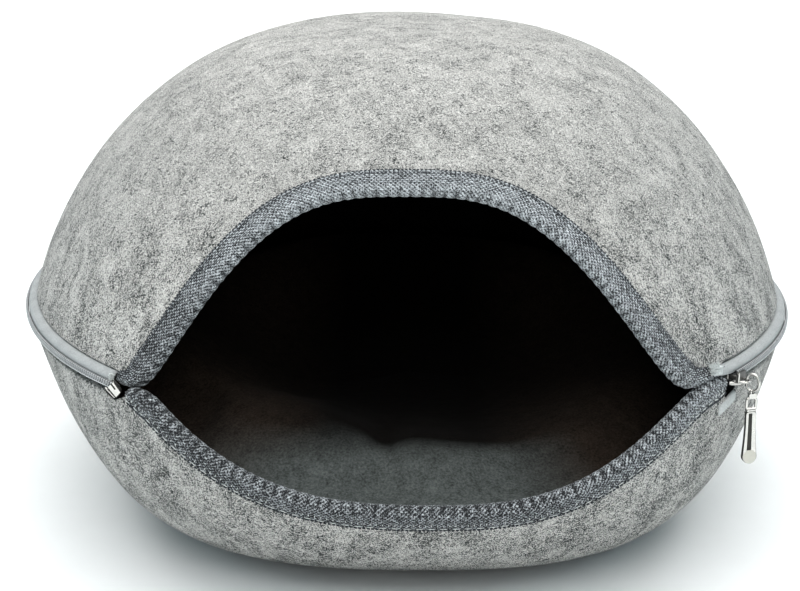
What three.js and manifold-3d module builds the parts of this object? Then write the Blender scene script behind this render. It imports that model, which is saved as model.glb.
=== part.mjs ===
// A felt pet cave bed: a moulded dome and a moulded bowl of thick felt, zipped together round the sides and
// back. The front is left open as a mouth, its two cut edges are bound with folded webbing, and a loose plush
// cushion lies in the bowl. Millimetres, +Z up, the mouth faces -Y, and the origin is on the flat base, under
// the middle of the zip's ring.
import * as THREE from "three";
import { mergeVertices } from "three/addons/utils/BufferGeometryUtils.js";
import Module from "manifold-3d";

const wasm = await Module();
wasm.setup();

// Driving dimensions of the whole
const WIDTH = 400; // across the zip
const DEPTH = 460; // front to back, the zip's ring taken as whole
const HEIGHT = 240;
const ZIP_HEIGHT = 105; // middle of the zip's chain above the floor
const FELT = 4; // thickness of both shells
const GAP = 0.35; // clearance between pieces that touch in the real thing

// Both shells keep inside the zip's ring by their inset, and their section is a rounded power curve
const DOME_INSET = 5;
const DOME_FULLNESS = 2.92;
const DOME_CROWN = 1.28;
const DOME_LAST_SLOPE = 86; // degrees, at the last row before the top
const BOWL_INSET = 2;
const BOWL_FULLNESS = 2.55;
const BOWL_FLARE = 1.02;
const BASE_SHARE = 0.518; // flat base against the rim
const BASE_SQUARENESS = 0.8; // added to the ellipse's power of 2: nothing at the rim, all of it at the base

// Felt edges above and below the chain: along the zip, and at the corners of the mouth
const ZIP_EDGE_UP = 4.8;
const ZIP_EDGE_DOWN = 5.2;
const CORNER_EDGE = 3.2;

// The soft cave has settled a little: its top and base lean to the right, and its zip sags at the sides
const LEAN_TOP = 2;
const LEAN_BASE = 3.5;
const SAG_RIGHT = 5;
const SAG_LEFT = 2;
const SAG_REACH = 70; // above and below the zip

// The mouth's two cut edges, both bell curves over x, a little different to the left and right of their middle,
// with the width of their webbing's face at the sides and in the middle. Each face tapers towards a tip at either
// end, where the webbing is tucked in behind the zip.
const ARCH = {
  middle: 1,
  halfLeft: 116,
  halfRight: 120.6,
  rise: 84.3,
  shoulder: 2.66,
  flareLeft: 1.02,
  flareRight: 1.34,
  sideFace: 7.4,
  middleFace: 7.3,
  left: -126,
  leftTip: -130,
  leftTaper: 0.93,
  right: 134,
  rightTip: 143,
  rightTaper: 0.53,
};
const LIP = {
  middle: 12.4,
  halfLeft: 125.5,
  halfRight: 121,
  rise: 45.5,
  shoulder: 2.84,
  flareLeft: 1,
  flareRight: 1.45,
  sideFace: 6,
  middleFace: 6.9,
  left: -121,
  leftTip: -125,
  leftTaper: 1.06,
  right: 134,
  rightTip: 141.5,
  rightTaper: 1.05,
};
const WEBBING = 1.5; // thickness
const BINDING_NOSE = 2.75; // how far the fold stands past the felt

// Zip, by degrees round the plan: 0 is the middle of the mouth, positive to the right
const FELT_ZIP_RIGHT = 44.2;
const FELT_ZIP_LEFT = -41;
const TAPE_RIGHT = 44.4;
const TAPE_LEFT = -41.2;
const SLIDER_ANGLE = 48.1;
const CHAIN_RIGHT = 47.8;
const STOP_ANGLE = -40.1;
const TAPE_PARTED_TO = 47.5; // up to here the two tapes stand apart round the slider's post
const TAPE_PARTED_EDGE = 1.7; // half of the space between the tapes there, and past it
const TAPE_CLOSED_EDGE = 0.4;
const CHAIN_HALF = 1.5;

// Slider, placed by distance along the zip, up, and out from the chain
const PLATE_OUT = [0.45, 1.65];
const PLATE_UPPER_HALF = [[-4.6, 3], [-3.8, 3.9], [-1.5, 3.9], [3.4, 3], [4.4, 2.1]];
const POST = { along: [-4.2, -2.6], up: [-1.1, 1.1], out: [-3.5, 0.8] };
const BACK_PLATE = { along: [-4.2, 4.2], up: [-1.9, 1.9], out: [-4.3, -3.3] };
const BRIDGE = { along: -0.35, half: 0.45, foot: 1.35, under: 4.1, shoulder: 4.6, out: 5.2 };

// Wire ring through the slider's bridge
const RING = { radius: 4.3, wire: 0.65, out: 7.03, up: -1.2 };

// Link: an eye on the ring's lowest wire over a small frame, placed by distance from that wire
const LINK_TURN = 15; // degrees that it has twisted from facing straight forward
const LINK_HALF = 0.65;
const LINK_EYE = { radius: 2.6, hole: 1.85, slack: 0.55 };
const FRAME = { top: -2, neck: 1.2, shoulder: -3.2, bottom: -8.6, half: 2.7, corner: 0.6, bar: 1.1, side: 1 };
const FRAME_WINDOW_TOP = -3.9;

// Pull: an eye round the frame's lower bar, and a bar that flares to a round end with a groove in front
const PULL_EYE = { radius: 2.6, hole: 1.9, slack: 0.55, half: 0.9 };
const PULL = { length: 25.5, top: 2.2, end: 3.15, half: 1.2, corner: 0.8, bevel: 0.3, overlap: 0.35 };
const GROOVE = { half: 0.9, depth: 0.8, from: 2.4, to: 18.5 };

// Stop: a small folded box with a slot in its outer face
const STOP = { along: [-3.6, 3.6], half: 2.8, corner: 0.6, out: [-2.3, 1.6], bevel: 0.3 };
const STOP_SLOT = { along: [-1.2, 2.2], up: [0.2, 1.2], out: [0.6, 3] };

// Cushion: heights above the floor, and how far its front and right lie lower and its back and left higher
const CUSHION_GAP = 1.3;
const SEAT = 52; // middle of its top
const SEAM = { height: 50, front: 12, right: 2 };
const CREST = { height: 75, front: 14, right: 3.5, lumps: 1.6, ripples: 1.1 };
const CREASE = { depth: 6, turn: -0.07, reach: 0.11 }; // across the crest in front, by radians round the plan
const RIM_AT = 0.74; // crest of the puffed rim, as a share of the radius

// Steps of the grids
const MOUTH_STEPS = 30;
const ZIP_STEPS = 48;
const DOME_ROWS = 10;
const BOWL_ROWS = 8;
const CUSHION_STEPS = 40;
const CUSHION_ROWS = 8;

const { sin, cos, abs, sign, min, max, PI } = Math;
const radians = THREE.MathUtils.degToRad;
const clamp = THREE.MathUtils.clamp;
const vector = (x, y, z) => new THREE.Vector3(x, y, z);
const range = (count) => Array.from({ length: count }, (_, i) => i);
const spread = (from, to, steps) => range(steps + 1).map((i) => from + ((to - from) * i) / steps);

const materials = {
  felt: new THREE.MeshStandardMaterial({ color: 0xb4b8b7, roughness: 0.95, metalness: 0 }),
  webbing: new THREE.MeshStandardMaterial({ color: 0x6f777c, roughness: 0.85, metalness: 0 }),
  tape: new THREE.MeshStandardMaterial({ color: 0xb0b4b5, roughness: 0.8, metalness: 0 }),
  chain: new THREE.MeshStandardMaterial({ color: 0x8d9294, roughness: 0.55, metalness: 0 }),
  nickel: new THREE.MeshStandardMaterial({ color: 0xd9d7d2, roughness: 0.2, metalness: 1 }),
  plush: new THREE.MeshStandardMaterial({ color: 0x4a4b4a, roughness: 1, metalness: 0 }),
};

// Meshes from loops of points

function geometryOf(points, triangles) {
  const geometry = new THREE.BufferGeometry();
  geometry.setAttribute("position", new THREE.Float32BufferAttribute(points.flatMap((p) => p.toArray()), 3));
  geometry.setIndex(triangles.flat());
  return geometry;
}

function signedVolume(points, triangles) {
  const part = ([a, b, c]) => points[a].dot(vector().crossVectors(points[b], points[c]));
  return triangles.reduce((sum, triangle) => sum + part(triangle), 0);
}

// Joins closed loops of equal length one after the other. Each end is a single point, a list of triangles
// within the end loop, or missing where the last loop joins the first.
function skin(loops, startCap, endCap) {
  const count = loops[0].length;
  const points = loops.flat();
  const triangles = [];
  const joins = startCap ? loops.length - 1 : loops.length;
  for (let row = 0; row < joins; row++) {
    const here = row * count;
    const next = ((row + 1) % loops.length) * count;
    for (let i = 0; i < count; i++) {
      const j = (i + 1) % count;
      triangles.push([here + i, here + j, next + j], [here + i, next + j, next + i]);
    }
  }
  const close = (cap, first, turned) => {
    const face = (a, b, c) => triangles.push(turned ? [a, c, b] : [a, b, c]);
    if (cap.isVector3) {
      points.push(cap);
      range(count).forEach((i) => face(first + i, points.length - 1, first + ((i + 1) % count)));
    } else {
      cap.forEach(([a, b, c]) => face(first + a, first + c, first + b));
    }
  };
  if (startCap) {
    close(startCap, 0, false);
    close(endCap, (loops.length - 1) * count, true);
  }
  const outward = signedVolume(points, triangles) > 0;
  return geometryOf(points, outward ? triangles : triangles.map(([a, b, c]) => [a, c, b]));
}

function capTriangles(outline) {
  const flat = outline.map(([x, y]) => new THREE.Vector2(x, y));
  const turned = THREE.ShapeUtils.isClockWise(flat);
  const faces = THREE.ShapeUtils.triangulateShape(flat, []);
  return turned ? faces.map(([a, b, c]) => [a, c, b]) : faces;
}

function solidOf(geometry) {
  const bare = geometry.clone();
  bare.deleteAttribute("normal");
  bare.deleteAttribute("uv");
  const merged = mergeVertices(bare);
  return new wasm.Manifold(
    new wasm.Mesh({
      numProp: 3,
      vertProperties: new Float32Array(merged.attributes.position.array),
      triVerts: new Uint32Array(merged.index.array),
    }),
  );
}

function fused(geometries, cutters = []) {
  let solid = geometries.map(solidOf).reduce((a, b) => a.add(b));
  cutters.forEach((cutter) => {
    solid = solid.subtract(solidOf(cutter));
  });
  const mesh = solid.getMesh();
  const geometry = new THREE.BufferGeometry();
  geometry.setAttribute("position", new THREE.BufferAttribute(new Float32Array(mesh.vertProperties), 3));
  geometry.setIndex(new THREE.BufferAttribute(new Uint32Array(mesh.triVerts), 1));
  return geometry;
}

// Where a point of the ideal, even shape lies once the cave has settled.
function settled(point) {
  const above = max(point.z - ZIP_HEIGHT, 0) / (HEIGHT - ZIP_HEIGHT);
  const below = max(ZIP_HEIGHT - point.z, 0) / ZIP_HEIGHT;
  const lean = LEAN_TOP * above ** 3 + LEAN_BASE * below;
  const nearZip = max(1 - abs(point.z - ZIP_HEIGHT) / SAG_REACH, 0) ** 1.5;
  const side = min(abs(point.x) / (WIDTH / 2), 1) ** 8;
  const sag = (point.x > 0 ? SAG_RIGHT : SAG_LEFT) * side * nearZip;
  return vector(point.x + lean, point.y, point.z - sag);
}

function meshOf(name, geometry, material) {
  const mesh = new THREE.Mesh(geometry, material);
  mesh.name = name;
  return mesh;
}

// Outer faces of the shells. Each takes the angle round the plan and a slope that runs from 0 at the rim to a
// quarter turn at the dome's top or the bowl's base.

const quarter = PI / 2;

function planPoint(angle, inset, share, z) {
  const x = (WIDTH / 2 - inset) * share * sin(angle);
  const y = -(DEPTH / 2 - inset) * share * cos(angle);
  return vector(x, y, z);
}

const dome = {
  up: 1,
  inset: DOME_INSET,
  slopeAt: (height) => Math.asin((height / (HEIGHT - ZIP_HEIGHT)) ** (DOME_CROWN / 2)),
  share: (slope) => cos(slope) ** (2 / DOME_FULLNESS),
  height: (slope) => (HEIGHT - ZIP_HEIGHT) * sin(slope) ** (2 / DOME_CROWN),
  point(angle, slope) {
    return planPoint(angle, DOME_INSET, dome.share(slope), ZIP_HEIGHT + dome.height(slope));
  },
  angleAt: (x, slope) => Math.asin(x / ((WIDTH / 2 - DOME_INSET) * dome.share(slope))),
};

const bowl = {
  up: -1,
  inset: BOWL_INSET,
  slopeAt: (depth) => Math.asin((depth / ZIP_HEIGHT) ** (BOWL_FLARE / 2)),
  share: (slope) => BASE_SHARE + (1 - BASE_SHARE) * max(cos(slope), 0) ** (2 / BOWL_FULLNESS),
  height: (slope) => ZIP_HEIGHT * sin(slope) ** (2 / BOWL_FLARE),
  power: (slope) => 2 + (BASE_SQUARENESS * bowl.height(slope)) / ZIP_HEIGHT,
  point(angle, slope) {
    const power = bowl.power(slope);
    const square = (abs(sin(angle)) ** power + abs(cos(angle)) ** power) ** (-1 / power);
    return planPoint(angle, BOWL_INSET, square * bowl.share(slope), ZIP_HEIGHT - bowl.height(slope));
  },
  angleAt(x, slope) {
    const power = bowl.power(slope);
    const across = (abs(x) / ((WIDTH / 2 - BOWL_INSET) * bowl.share(slope))) ** power;
    return sign(x) * Math.atan((across / (1 - across)) ** (1 / power));
  },
};

function normalOf(shell, angle, slope) {
  if (slope > quarter - 1e-3) return vector(0, 0, shell.up);
  const step = 1e-4;
  const round = shell.point(angle + step, slope).sub(shell.point(angle - step, slope));
  const along = shell.point(angle, slope + step).sub(shell.point(angle, slope - step));
  const normal = round.cross(along).normalize();
  const outward = vector(sin(angle), -cos(angle), shell.up);
  return normal.dot(outward) > 0 ? normal : normal.negate();
}

function bell(x, edge) {
  const [half, flare] = x < edge.middle ? [edge.halfLeft, edge.flareLeft] : [edge.halfRight, edge.flareRight];
  const share = clamp(abs(x - edge.middle) / half, 0, 1);
  return edge.rise * (1 - share ** edge.shoulder) ** flare;
}

function faceWidth(x, edge) {
  const face = edge.sideFace + ((edge.middleFace - edge.sideFace) * bell(x, edge)) / edge.rise;
  return min(face, (x - edge.leftTip) * edge.leftTaper, (edge.rightTip - x) * edge.rightTaper);
}

function station(shell, angle, slope) {
  return { angle, slope, at: shell.point(angle, slope), out: normalOf(shell, angle, slope) };
}

// One shell's columns, in order round the plan: across the mouth by x, then along the zip by angle. Each
// column has its felt edge, the stations under the binding, and the direction past the edge.
function columnsOf(shell, edge, zipEdge) {
  const places = [
    ...spread(edge.left, edge.right, MOUTH_STEPS).map((x) => {
      const slope = shell.slopeAt(CORNER_EDGE + bell(x, edge));
      return { angle: shell.angleAt(x, slope), slope, width: faceWidth(x, edge) };
    }),
    ...spread(FELT_ZIP_RIGHT, 360 + FELT_ZIP_LEFT, ZIP_STEPS).map((degrees) => ({
      angle: radians(degrees),
      slope: shell.slopeAt(zipEdge),
      width: edge.sideFace,
    })),
  ];
  const edges = places.map(({ angle, slope }) => station(shell, angle, slope));
  return edges.map((here, i) => {
    const before = edges[(i + edges.length - 1) % edges.length].at;
    const after = edges[(i + 1) % edges.length].at;
    const inward = after.clone().sub(before).cross(here.out).normalize();
    if (inward.z * shell.up < 0) inward.negate();
    const under = [0.5, 1].map((share) => {
      const place = here.at.clone().addScaledVector(inward, places[i].width * share);
      const angle = Math.atan2(place.x / (WIDTH / 2 - shell.inset), -place.y / (DEPTH / 2 - shell.inset));
      return station(shell, angle, shell.slopeAt(shell.up * (place.z - ZIP_HEIGHT)));
    });
    return { stations: [here, ...under], past: inward.negate() };
  });
}

const domeColumns = columnsOf(dome, ARCH, ZIP_EDGE_UP);
const bowlColumns = columnsOf(bowl, LIP, ZIP_EDGE_DOWN);

// A felt shell: its outer face from the middle to the edge, then its inner face back to the middle.
function shellGeometry(shell, columns, lastSlope, rows, middle) {
  const outer = columns.map(({ stations }) => {
    const { angle, slope } = stations.at(-1);
    const inner = spread(slope, lastSlope, rows).slice(1).map((place) => station(shell, angle, place));
    return [...stations, ...inner].reverse();
  });
  const faceLoops = (sunk) =>
    range(outer[0].length).map((row) =>
      outer.map((column) => column[row].at.clone().addScaledVector(column[row].out, -sunk)),
    );
  const innerMiddle = middle.clone().add(vector(0, 0, -shell.up * FELT));
  return skin([...faceLoops(0), ...faceLoops(FELT).reverse()], middle, innerMiddle);
}

// Webbing folded over a cut edge: its section as stations in from the edge, or a distance past it where
// negative, and distance out from the felt's face.
function bindingSection() {
  const faces = [2, 1, 0];
  const outside = GAP + WEBBING;
  const halfFold = FELT / 2 + outside;
  const fold = [30, 60, 90, 120, 150].map((turn) => [
    -BINDING_NOSE * sin(radians(turn)),
    halfFold * cos(radians(turn)) - FELT / 2,
  ]);
  return [
    ...faces.map((inward) => [inward, outside]),
    ...fold,
    ...faces.toReversed().map((inward) => [inward, -FELT - outside]),
    ...faces.map((inward) => [inward, -FELT - GAP]),
    [-GAP, -FELT - GAP],
    [-GAP, GAP],
    ...faces.toReversed().map((inward) => [inward, GAP]),
  ];
}

function bindingGeometry(columns) {
  const section = bindingSection();
  const sections = columns.slice(0, MOUTH_STEPS + 1).map(({ stations, past }) =>
    section.map(([inward, out]) => {
      const station = stations[max(inward, 0)];
      const place = station.at.clone().addScaledVector(station.out, out);
      return place.addScaledVector(past, max(-inward, 0));
    }),
  );
  const cap = capTriangles(section);
  return skin(sections, cap, cap);
}

// The zip's flexible strips: sections given as inset from the ring and height over the chain, swept round it.
function ringStrip(angles, sectionAt) {
  const sections = angles.map((degrees) =>
    sectionAt(degrees).map(([inset, z]) => planPoint(radians(degrees), inset, 1, ZIP_HEIGHT + z)),
  );
  const cap = capTriangles(sectionAt(angles[0]));
  return skin(sections, cap, cap);
}

const feltAngles = spread(FELT_ZIP_RIGHT, 360 + FELT_ZIP_LEFT, ZIP_STEPS).slice(1, -1);
const tapeAngles = [
  TAPE_RIGHT,
  TAPE_PARTED_TO,
  TAPE_PARTED_TO + 0.5,
  ...feltAngles,
  360 + TAPE_LEFT,
];
const chainAngles = [CHAIN_RIGHT, ...feltAngles, 360 + TAPE_LEFT];

const tapeEdge = (degrees) => (degrees <= TAPE_PARTED_TO ? TAPE_PARTED_EDGE : TAPE_CLOSED_EDGE);

// Each tape runs out from under its felt edge, rolls over and ends behind the chain.
function upperTape(degrees) {
  const edge = tapeEdge(degrees);
  return [
    [9.6, 3.35],
    [6.2, 4.35],
    [4.2, 4.25],
    [2.4, 3.55],
    [1.5, 2.4],
    [1.75, edge],
    [2.85, edge],
    [2.6, 2.0],
    [3.2, 2.7],
    [4.5, 3.15],
    [6.1, 3.2],
    [9.3, 2.25],
  ];
}

function lowerTape(degrees) {
  const edge = -tapeEdge(degrees);
  return [
    [7.2, -3.35],
    [3.7, -4.75],
    [2.2, -4.3],
    [1.5, -3.3],
    [1.5, -2.4],
    [1.75, edge],
    [2.85, edge],
    [2.6, -2.0],
    [2.7, -2.9],
    [3.5, -3.5],
    [6.8, -2.2],
  ];
}

const chainSection = () => [
  [1.2, -CHAIN_HALF],
  [0.3, -CHAIN_HALF],
  [-0.1, -1],
  [0.1, 0],
  [-0.1, 1],
  [0.3, CHAIN_HALF],
  [1.2, CHAIN_HALF],
];

// Metal at the ends of the zip. Outlines are drawn as along the zip and up, and pushed out from the chain.

function pushedOut(outline, [from, to], bevel = 0) {
  const shape = new THREE.Shape(outline.map(([x, y]) => new THREE.Vector2(x, y)));
  const geometry = new THREE.ExtrudeGeometry(shape, {
    depth: to - from - 2 * bevel,
    bevelEnabled: bevel > 0,
    bevelSize: bevel,
    bevelThickness: bevel,
    bevelOffset: -bevel,
    bevelSegments: 1,
  });
  return geometry.translate(0, 0, from + bevel).rotateX(quarter);
}

function block({ along, up, out }) {
  const corners = [[along[0], up[0]], [along[1], up[0]], [along[1], up[1]], [along[0], up[1]]];
  return pushedOut(corners, out);
}

// A closed outline from one half of it, mirrored in its first or second coordinate.
function mirrored(half, axis) {
  const turned = half.map((place) => place.map((value, i) => (i === axis ? -value : value)));
  return [...half, ...turned.reverse()];
}

function arc(middle, radius, from, to, steps) {
  return spread(from, to, steps).map((turn) => [
    middle[0] + radius * cos(radians(turn)),
    middle[1] + radius * sin(radians(turn)),
  ]);
}

const circle = (middle, radius, sides) => arc(middle, radius, 0, 360, sides).slice(1);
const through = [-5, 5]; // past both faces of what is cut

function sliderGeometry() {
  const plate = pushedOut(mirrored(PLATE_UPPER_HALF, 1), PLATE_OUT, 0.25);
  const bridgeHalf = [
    [1.55, BRIDGE.under],
    [1.95, BRIDGE.foot],
    [3.05, BRIDGE.foot],
    [2.35, BRIDGE.shoulder],
    [1.75, BRIDGE.out],
  ];
  const arch = pushedOut(mirrored(bridgeHalf, 0), [-BRIDGE.half, BRIDGE.half]).rotateX(quarter);
  return fused([plate, block(POST), block(BACK_PLATE), arch.translate(BRIDGE.along, 0, 0)]);
}

function ringGeometry() {
  const turns = spread(0, 2 * PI, 28).slice(1);
  const sides = spread(0, 2 * PI, 8).slice(1);
  const loops = turns.map((turn) =>
    sides.map((side) => {
      const reach = RING.radius + RING.wire * cos(side);
      const along = BRIDGE.along + RING.wire * sin(side);
      return vector(along, -RING.out - reach * cos(turn), RING.up + reach * sin(turn));
    }),
  );
  return skin(loops);
}

function linkGeometry() {
  const thickness = [-LINK_HALF, LINK_HALF];
  const eyeMiddle = [0, RING.wire + LINK_EYE.slack - LINK_EYE.hole];
  const eye = pushedOut(circle(eyeMiddle, LINK_EYE.radius, 24), thickness);
  const frameHalf = [
    [FRAME.neck, FRAME.top],
    [FRAME.half, FRAME.shoulder],
    [FRAME.half, FRAME.bottom + FRAME.corner],
    [FRAME.half - FRAME.corner, FRAME.bottom],
  ];
  const frame = pushedOut(mirrored(frameHalf, 0), thickness);
  const hole = pushedOut(circle(eyeMiddle, LINK_EYE.hole, 16), through);
  const opening = FRAME.half - FRAME.side;
  const window = block({
    along: [-opening, opening],
    up: [FRAME.bottom + FRAME.bar, FRAME_WINDOW_TOP],
    out: through,
  });
  return fused([eye, frame], [hole, window]);
}

function pullGeometry() {
  const eyeUp = FRAME.bottom + FRAME.bar + PULL_EYE.slack - PULL_EYE.hole;
  const sideways = (radius, reach) => {
    const disc = pushedOut(circle([0, 0], radius, 18), reach);
    return disc.rotateZ(quarter).translate(0, 0, eyeUp);
  };
  const eye = sideways(PULL_EYE.radius, [-PULL_EYE.half, PULL_EYE.half]);
  const top = eyeUp - PULL_EYE.hole - PULL.overlap;
  const low = top - PULL.length + PULL.end;
  const barHalf = [
    [PULL.top - PULL.corner, top],
    [PULL.top, top - PULL.corner],
    [PULL.top, (top + low) / 2],
    ...arc([0, low], PULL.end, 15, -80, 7),
  ];
  const bar = pushedOut(mirrored(barHalf, 0), [-PULL.half, PULL.half], PULL.bevel);
  const grooveOutline = [
    ...arc([0, top - GROOVE.from - GROOVE.half], GROOVE.half, 0, 180, 6),
    ...arc([0, top - GROOVE.to + GROOVE.half], GROOVE.half, 180, 360, 6),
  ];
  const groove = pushedOut(grooveOutline, [PULL.half - GROOVE.depth, PULL.half + GROOVE.depth]);
  return fused([eye, bar], [sideways(PULL_EYE.hole, through), groove]);
}

function stopGeometry() {
  const [back, front] = STOP.along;
  const upperHalf = [[back, STOP.half], [front - STOP.corner, STOP.half], [front, STOP.half - STOP.corner]];
  return fused([pushedOut(mirrored(upperHalf, 1), STOP.out, STOP.bevel)], [block(STOP_SLOT)]);
}

function placeOnZip(group, degrees) {
  const angle = radians(degrees);
  group.position.copy(settled(planPoint(angle, 0, 1, ZIP_HEIGHT)));
  group.rotation.z = Math.atan2((DEPTH / 2) * sin(angle), (WIDTH / 2) * cos(angle));
  return group;
}

function zipEnds() {
  const right = placeOnZip(new THREE.Group(), SLIDER_ANGLE);
  right.add(meshOf("zip_slider", sliderGeometry(), materials.nickel));
  right.add(meshOf("zip_ring", ringGeometry(), materials.nickel));
  const hanging = new THREE.Group();
  hanging.position.set(BRIDGE.along, -RING.out, RING.up - RING.radius);
  const link = meshOf("zip_link", linkGeometry(), materials.nickel);
  link.rotation.z = radians(LINK_TURN) - right.rotation.z;
  const pull = meshOf("zip_pull", pullGeometry(), materials.nickel);
  pull.rotation.z = -right.rotation.z;
  hanging.add(link, pull);
  right.add(hanging);
  const left = placeOnZip(new THREE.Group(), STOP_ANGLE);
  left.add(meshOf("zip_stop", stopGeometry(), materials.nickel));
  return [right, left];
}

// The cushion fills the bottom of the bowl: its seam follows the wall, its rim is puffed and uneven, with a
// crease in front, and its middle lies lower.

function seamHeight(angle) {
  return SEAM.height - SEAM.front * cos(angle) - SEAM.right * sin(angle);
}

function crestHeight(angle) {
  const turn = Math.atan2(sin(angle), cos(angle));
  const tilt = -CREST.front * cos(turn) - CREST.right * sin(turn);
  const lumps = CREST.lumps * cos(3 * turn + 0.6) + CREST.ripples * sin(5 * turn);
  const crease = CREASE.depth * Math.exp(-(((turn - CREASE.turn) / CREASE.reach) ** 2));
  return CREST.height + tilt + lumps - crease;
}

function cushionTop(angle, share) {
  const crest = crestHeight(angle);
  if (share > RIM_AT) {
    const out = (share - RIM_AT) / (1 - RIM_AT);
    return seamHeight(angle) + (crest - seamHeight(angle)) * (1 - out ** 2.2) ** 0.5;
  }
  const rise = 0.5 - 0.5 * cos(PI * (share / RIM_AT) ** 1.3);
  return SEAT + (crest - SEAT) * rise;
}

function cushionGeometry() {
  const angles = range(CUSHION_STEPS).map((i) => (i / CUSHION_STEPS) * 2 * PI);
  const against = (angle, slope) =>
    bowl.point(angle, slope).addScaledVector(normalOf(bowl, angle, slope), -(FELT + CUSHION_GAP));
  const seamSlope = (angle) => bowl.slopeAt(ZIP_HEIGHT - seamHeight(angle));
  const wall = [1, 0.97, 0.66, 0.33, 0].map((share) =>
    angles.map((angle) => against(angle, seamSlope(angle) + (quarter - seamSlope(angle)) * share)),
  );
  const seam = wall.at(-1);
  const top = spread(1, 0, CUSHION_ROWS).slice(1, -1).map((even) => {
    const share = even ** 0.8;
    return angles.map((angle, i) => {
      const place = seam[i].clone().multiplyScalar(share);
      place.z = cushionTop(angle, share);
      return place;
    });
  });
  return skin([...wall, ...top], vector(0, 0, FELT + CUSHION_GAP), vector(0, 0, SEAT));
}

function softMesh(name, geometry, material) {
  const { position } = geometry.attributes;
  range(position.count).forEach((i) => {
    const place = settled(vector().fromBufferAttribute(position, i));
    position.setXYZ(i, ...place.toArray());
  });
  return meshOf(name, geometry, material);
}

const cave = new THREE.Group();
cave.name = "felt_pet_cave";
const domeTop = vector(0, 0, HEIGHT);
const topShell = shellGeometry(dome, domeColumns, radians(DOME_LAST_SLOPE), DOME_ROWS, domeTop);
const bottomShell = shellGeometry(bowl, bowlColumns, quarter, BOWL_ROWS, vector(0, 0, 0));
cave.add(
  softMesh("top_shell", topShell, materials.felt),
  softMesh("bottom_shell", bottomShell, materials.felt),
  softMesh("mouth_binding_upper", bindingGeometry(domeColumns), materials.webbing),
  softMesh("mouth_binding_lower", bindingGeometry(bowlColumns), materials.webbing),
  softMesh("zip_tape_upper", ringStrip(tapeAngles, upperTape), materials.tape),
  softMesh("zip_tape_lower", ringStrip(tapeAngles, lowerTape), materials.tape),
  softMesh("zip_chain", ringStrip(chainAngles, chainSection), materials.chain),
  ...zipEnds(),
  softMesh("cushion", cushionGeometry(), materials.plush),
);

export default cave;
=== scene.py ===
import math
from types import SimpleNamespace

import bmesh
import bpy
import numpy as np
from mathutils import Matrix, Vector
from mathutils.geometry import tessellate_polygon


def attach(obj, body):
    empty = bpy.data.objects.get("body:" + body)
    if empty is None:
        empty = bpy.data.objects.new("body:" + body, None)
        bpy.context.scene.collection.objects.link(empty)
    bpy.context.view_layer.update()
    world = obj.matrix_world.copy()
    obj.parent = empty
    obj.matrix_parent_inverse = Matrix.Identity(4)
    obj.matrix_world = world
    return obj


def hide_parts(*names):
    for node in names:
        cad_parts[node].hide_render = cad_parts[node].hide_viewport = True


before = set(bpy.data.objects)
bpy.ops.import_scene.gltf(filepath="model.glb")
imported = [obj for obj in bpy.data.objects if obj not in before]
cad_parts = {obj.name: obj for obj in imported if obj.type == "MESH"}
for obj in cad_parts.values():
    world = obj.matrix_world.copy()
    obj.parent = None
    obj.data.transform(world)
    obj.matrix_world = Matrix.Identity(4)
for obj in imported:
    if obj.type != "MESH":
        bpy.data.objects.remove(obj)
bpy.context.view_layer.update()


# Camera
# The picture looks straight at the mouth from a little above, through a long lens,
# with the camera a trace off level.
view_target = Vector((-0.00362, 0.0, 0.0918))
view_tilt = math.radians(17.5)
view_distance = 0.85
view_roll = 0.007
focal_pixels = 1557.8
image_width = 800

camera_data = bpy.data.cameras.new("picture_camera")
camera_data.sensor_width = 36.0
camera_data.lens = focal_pixels / image_width * camera_data.sensor_width
camera_data.clip_start = 0.02
camera = bpy.data.objects.new("picture_camera", camera_data)
away = Vector((0.0, -math.cos(view_tilt), math.sin(view_tilt)))
stand = Matrix.Translation(view_target + view_distance * away)
tilt = Matrix.Rotation(math.pi / 2 - view_tilt, 4, "X")
camera.matrix_world = stand @ tilt @ Matrix.Rotation(view_roll, 4, "Z")
bpy.context.scene.collection.objects.link(camera)
bpy.context.scene.camera = camera


# Studio
# A wide pale floor under one large softbox, with a card in front, a cool one on each flank
# and a light far behind that keeps the ground white to the edge of the picture.
bpy.context.scene.view_settings.view_transform = "Standard"
world = bpy.data.worlds.new("dim_room")
world.use_nodes = True
room = world.node_tree.nodes["Background"].inputs
room["Color"].default_value = (0.9, 0.95, 1.0, 1.0)
room["Strength"].default_value = 0.03
bpy.context.scene.world = world


def softbox(name, place, size, power, turn=(0.0, 0.0, 0.0)):
    """A rectangular studio light that shines down its own Z axis."""
    light = bpy.data.lights.new(name, "AREA")
    light.shape = "RECTANGLE"
    light.size, light.size_y = size
    light.energy = power
    lamp = bpy.data.objects.new(name, light)
    lamp.location = place
    lamp.rotation_euler = turn
    lamp.visible_camera = False
    bpy.context.scene.collection.objects.link(lamp)
    return lamp


softbox("overhead_softbox", (0.0, -0.62, 1.35), (1.9, 1.7), 32.0)
softbox("front_card", (0.0, -2.2, 1.0), (2.4, 1.6), 9.5, (math.radians(68), 0.0, 0.0))
softbox("far_floor_light", (0.0, 3.6, 2.6), (7.0, 4.0), 330.0)
for side in (-1, 1):
    flank = softbox("flank_softbox", (1.7 * side, -0.35, 0.75), (1.0, 1.0), 5.0,
                    (0.0, side * math.radians(68), 0.0))
    flank.data.color = (0.66, 0.90, 1.0)

floor_half = 9.0
floor_mesh = bpy.data.meshes.new("pale_floor")
floor_corners = [(-floor_half, -floor_half, 0), (floor_half, -floor_half, 0),
                 (floor_half, floor_half, 0), (-floor_half, floor_half, 0)]
floor_mesh.from_pydata(floor_corners, [], [(0, 1, 2, 3)])
floor = bpy.data.objects.new("pale_floor", floor_mesh)
bpy.context.scene.collection.objects.link(floor)


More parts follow.
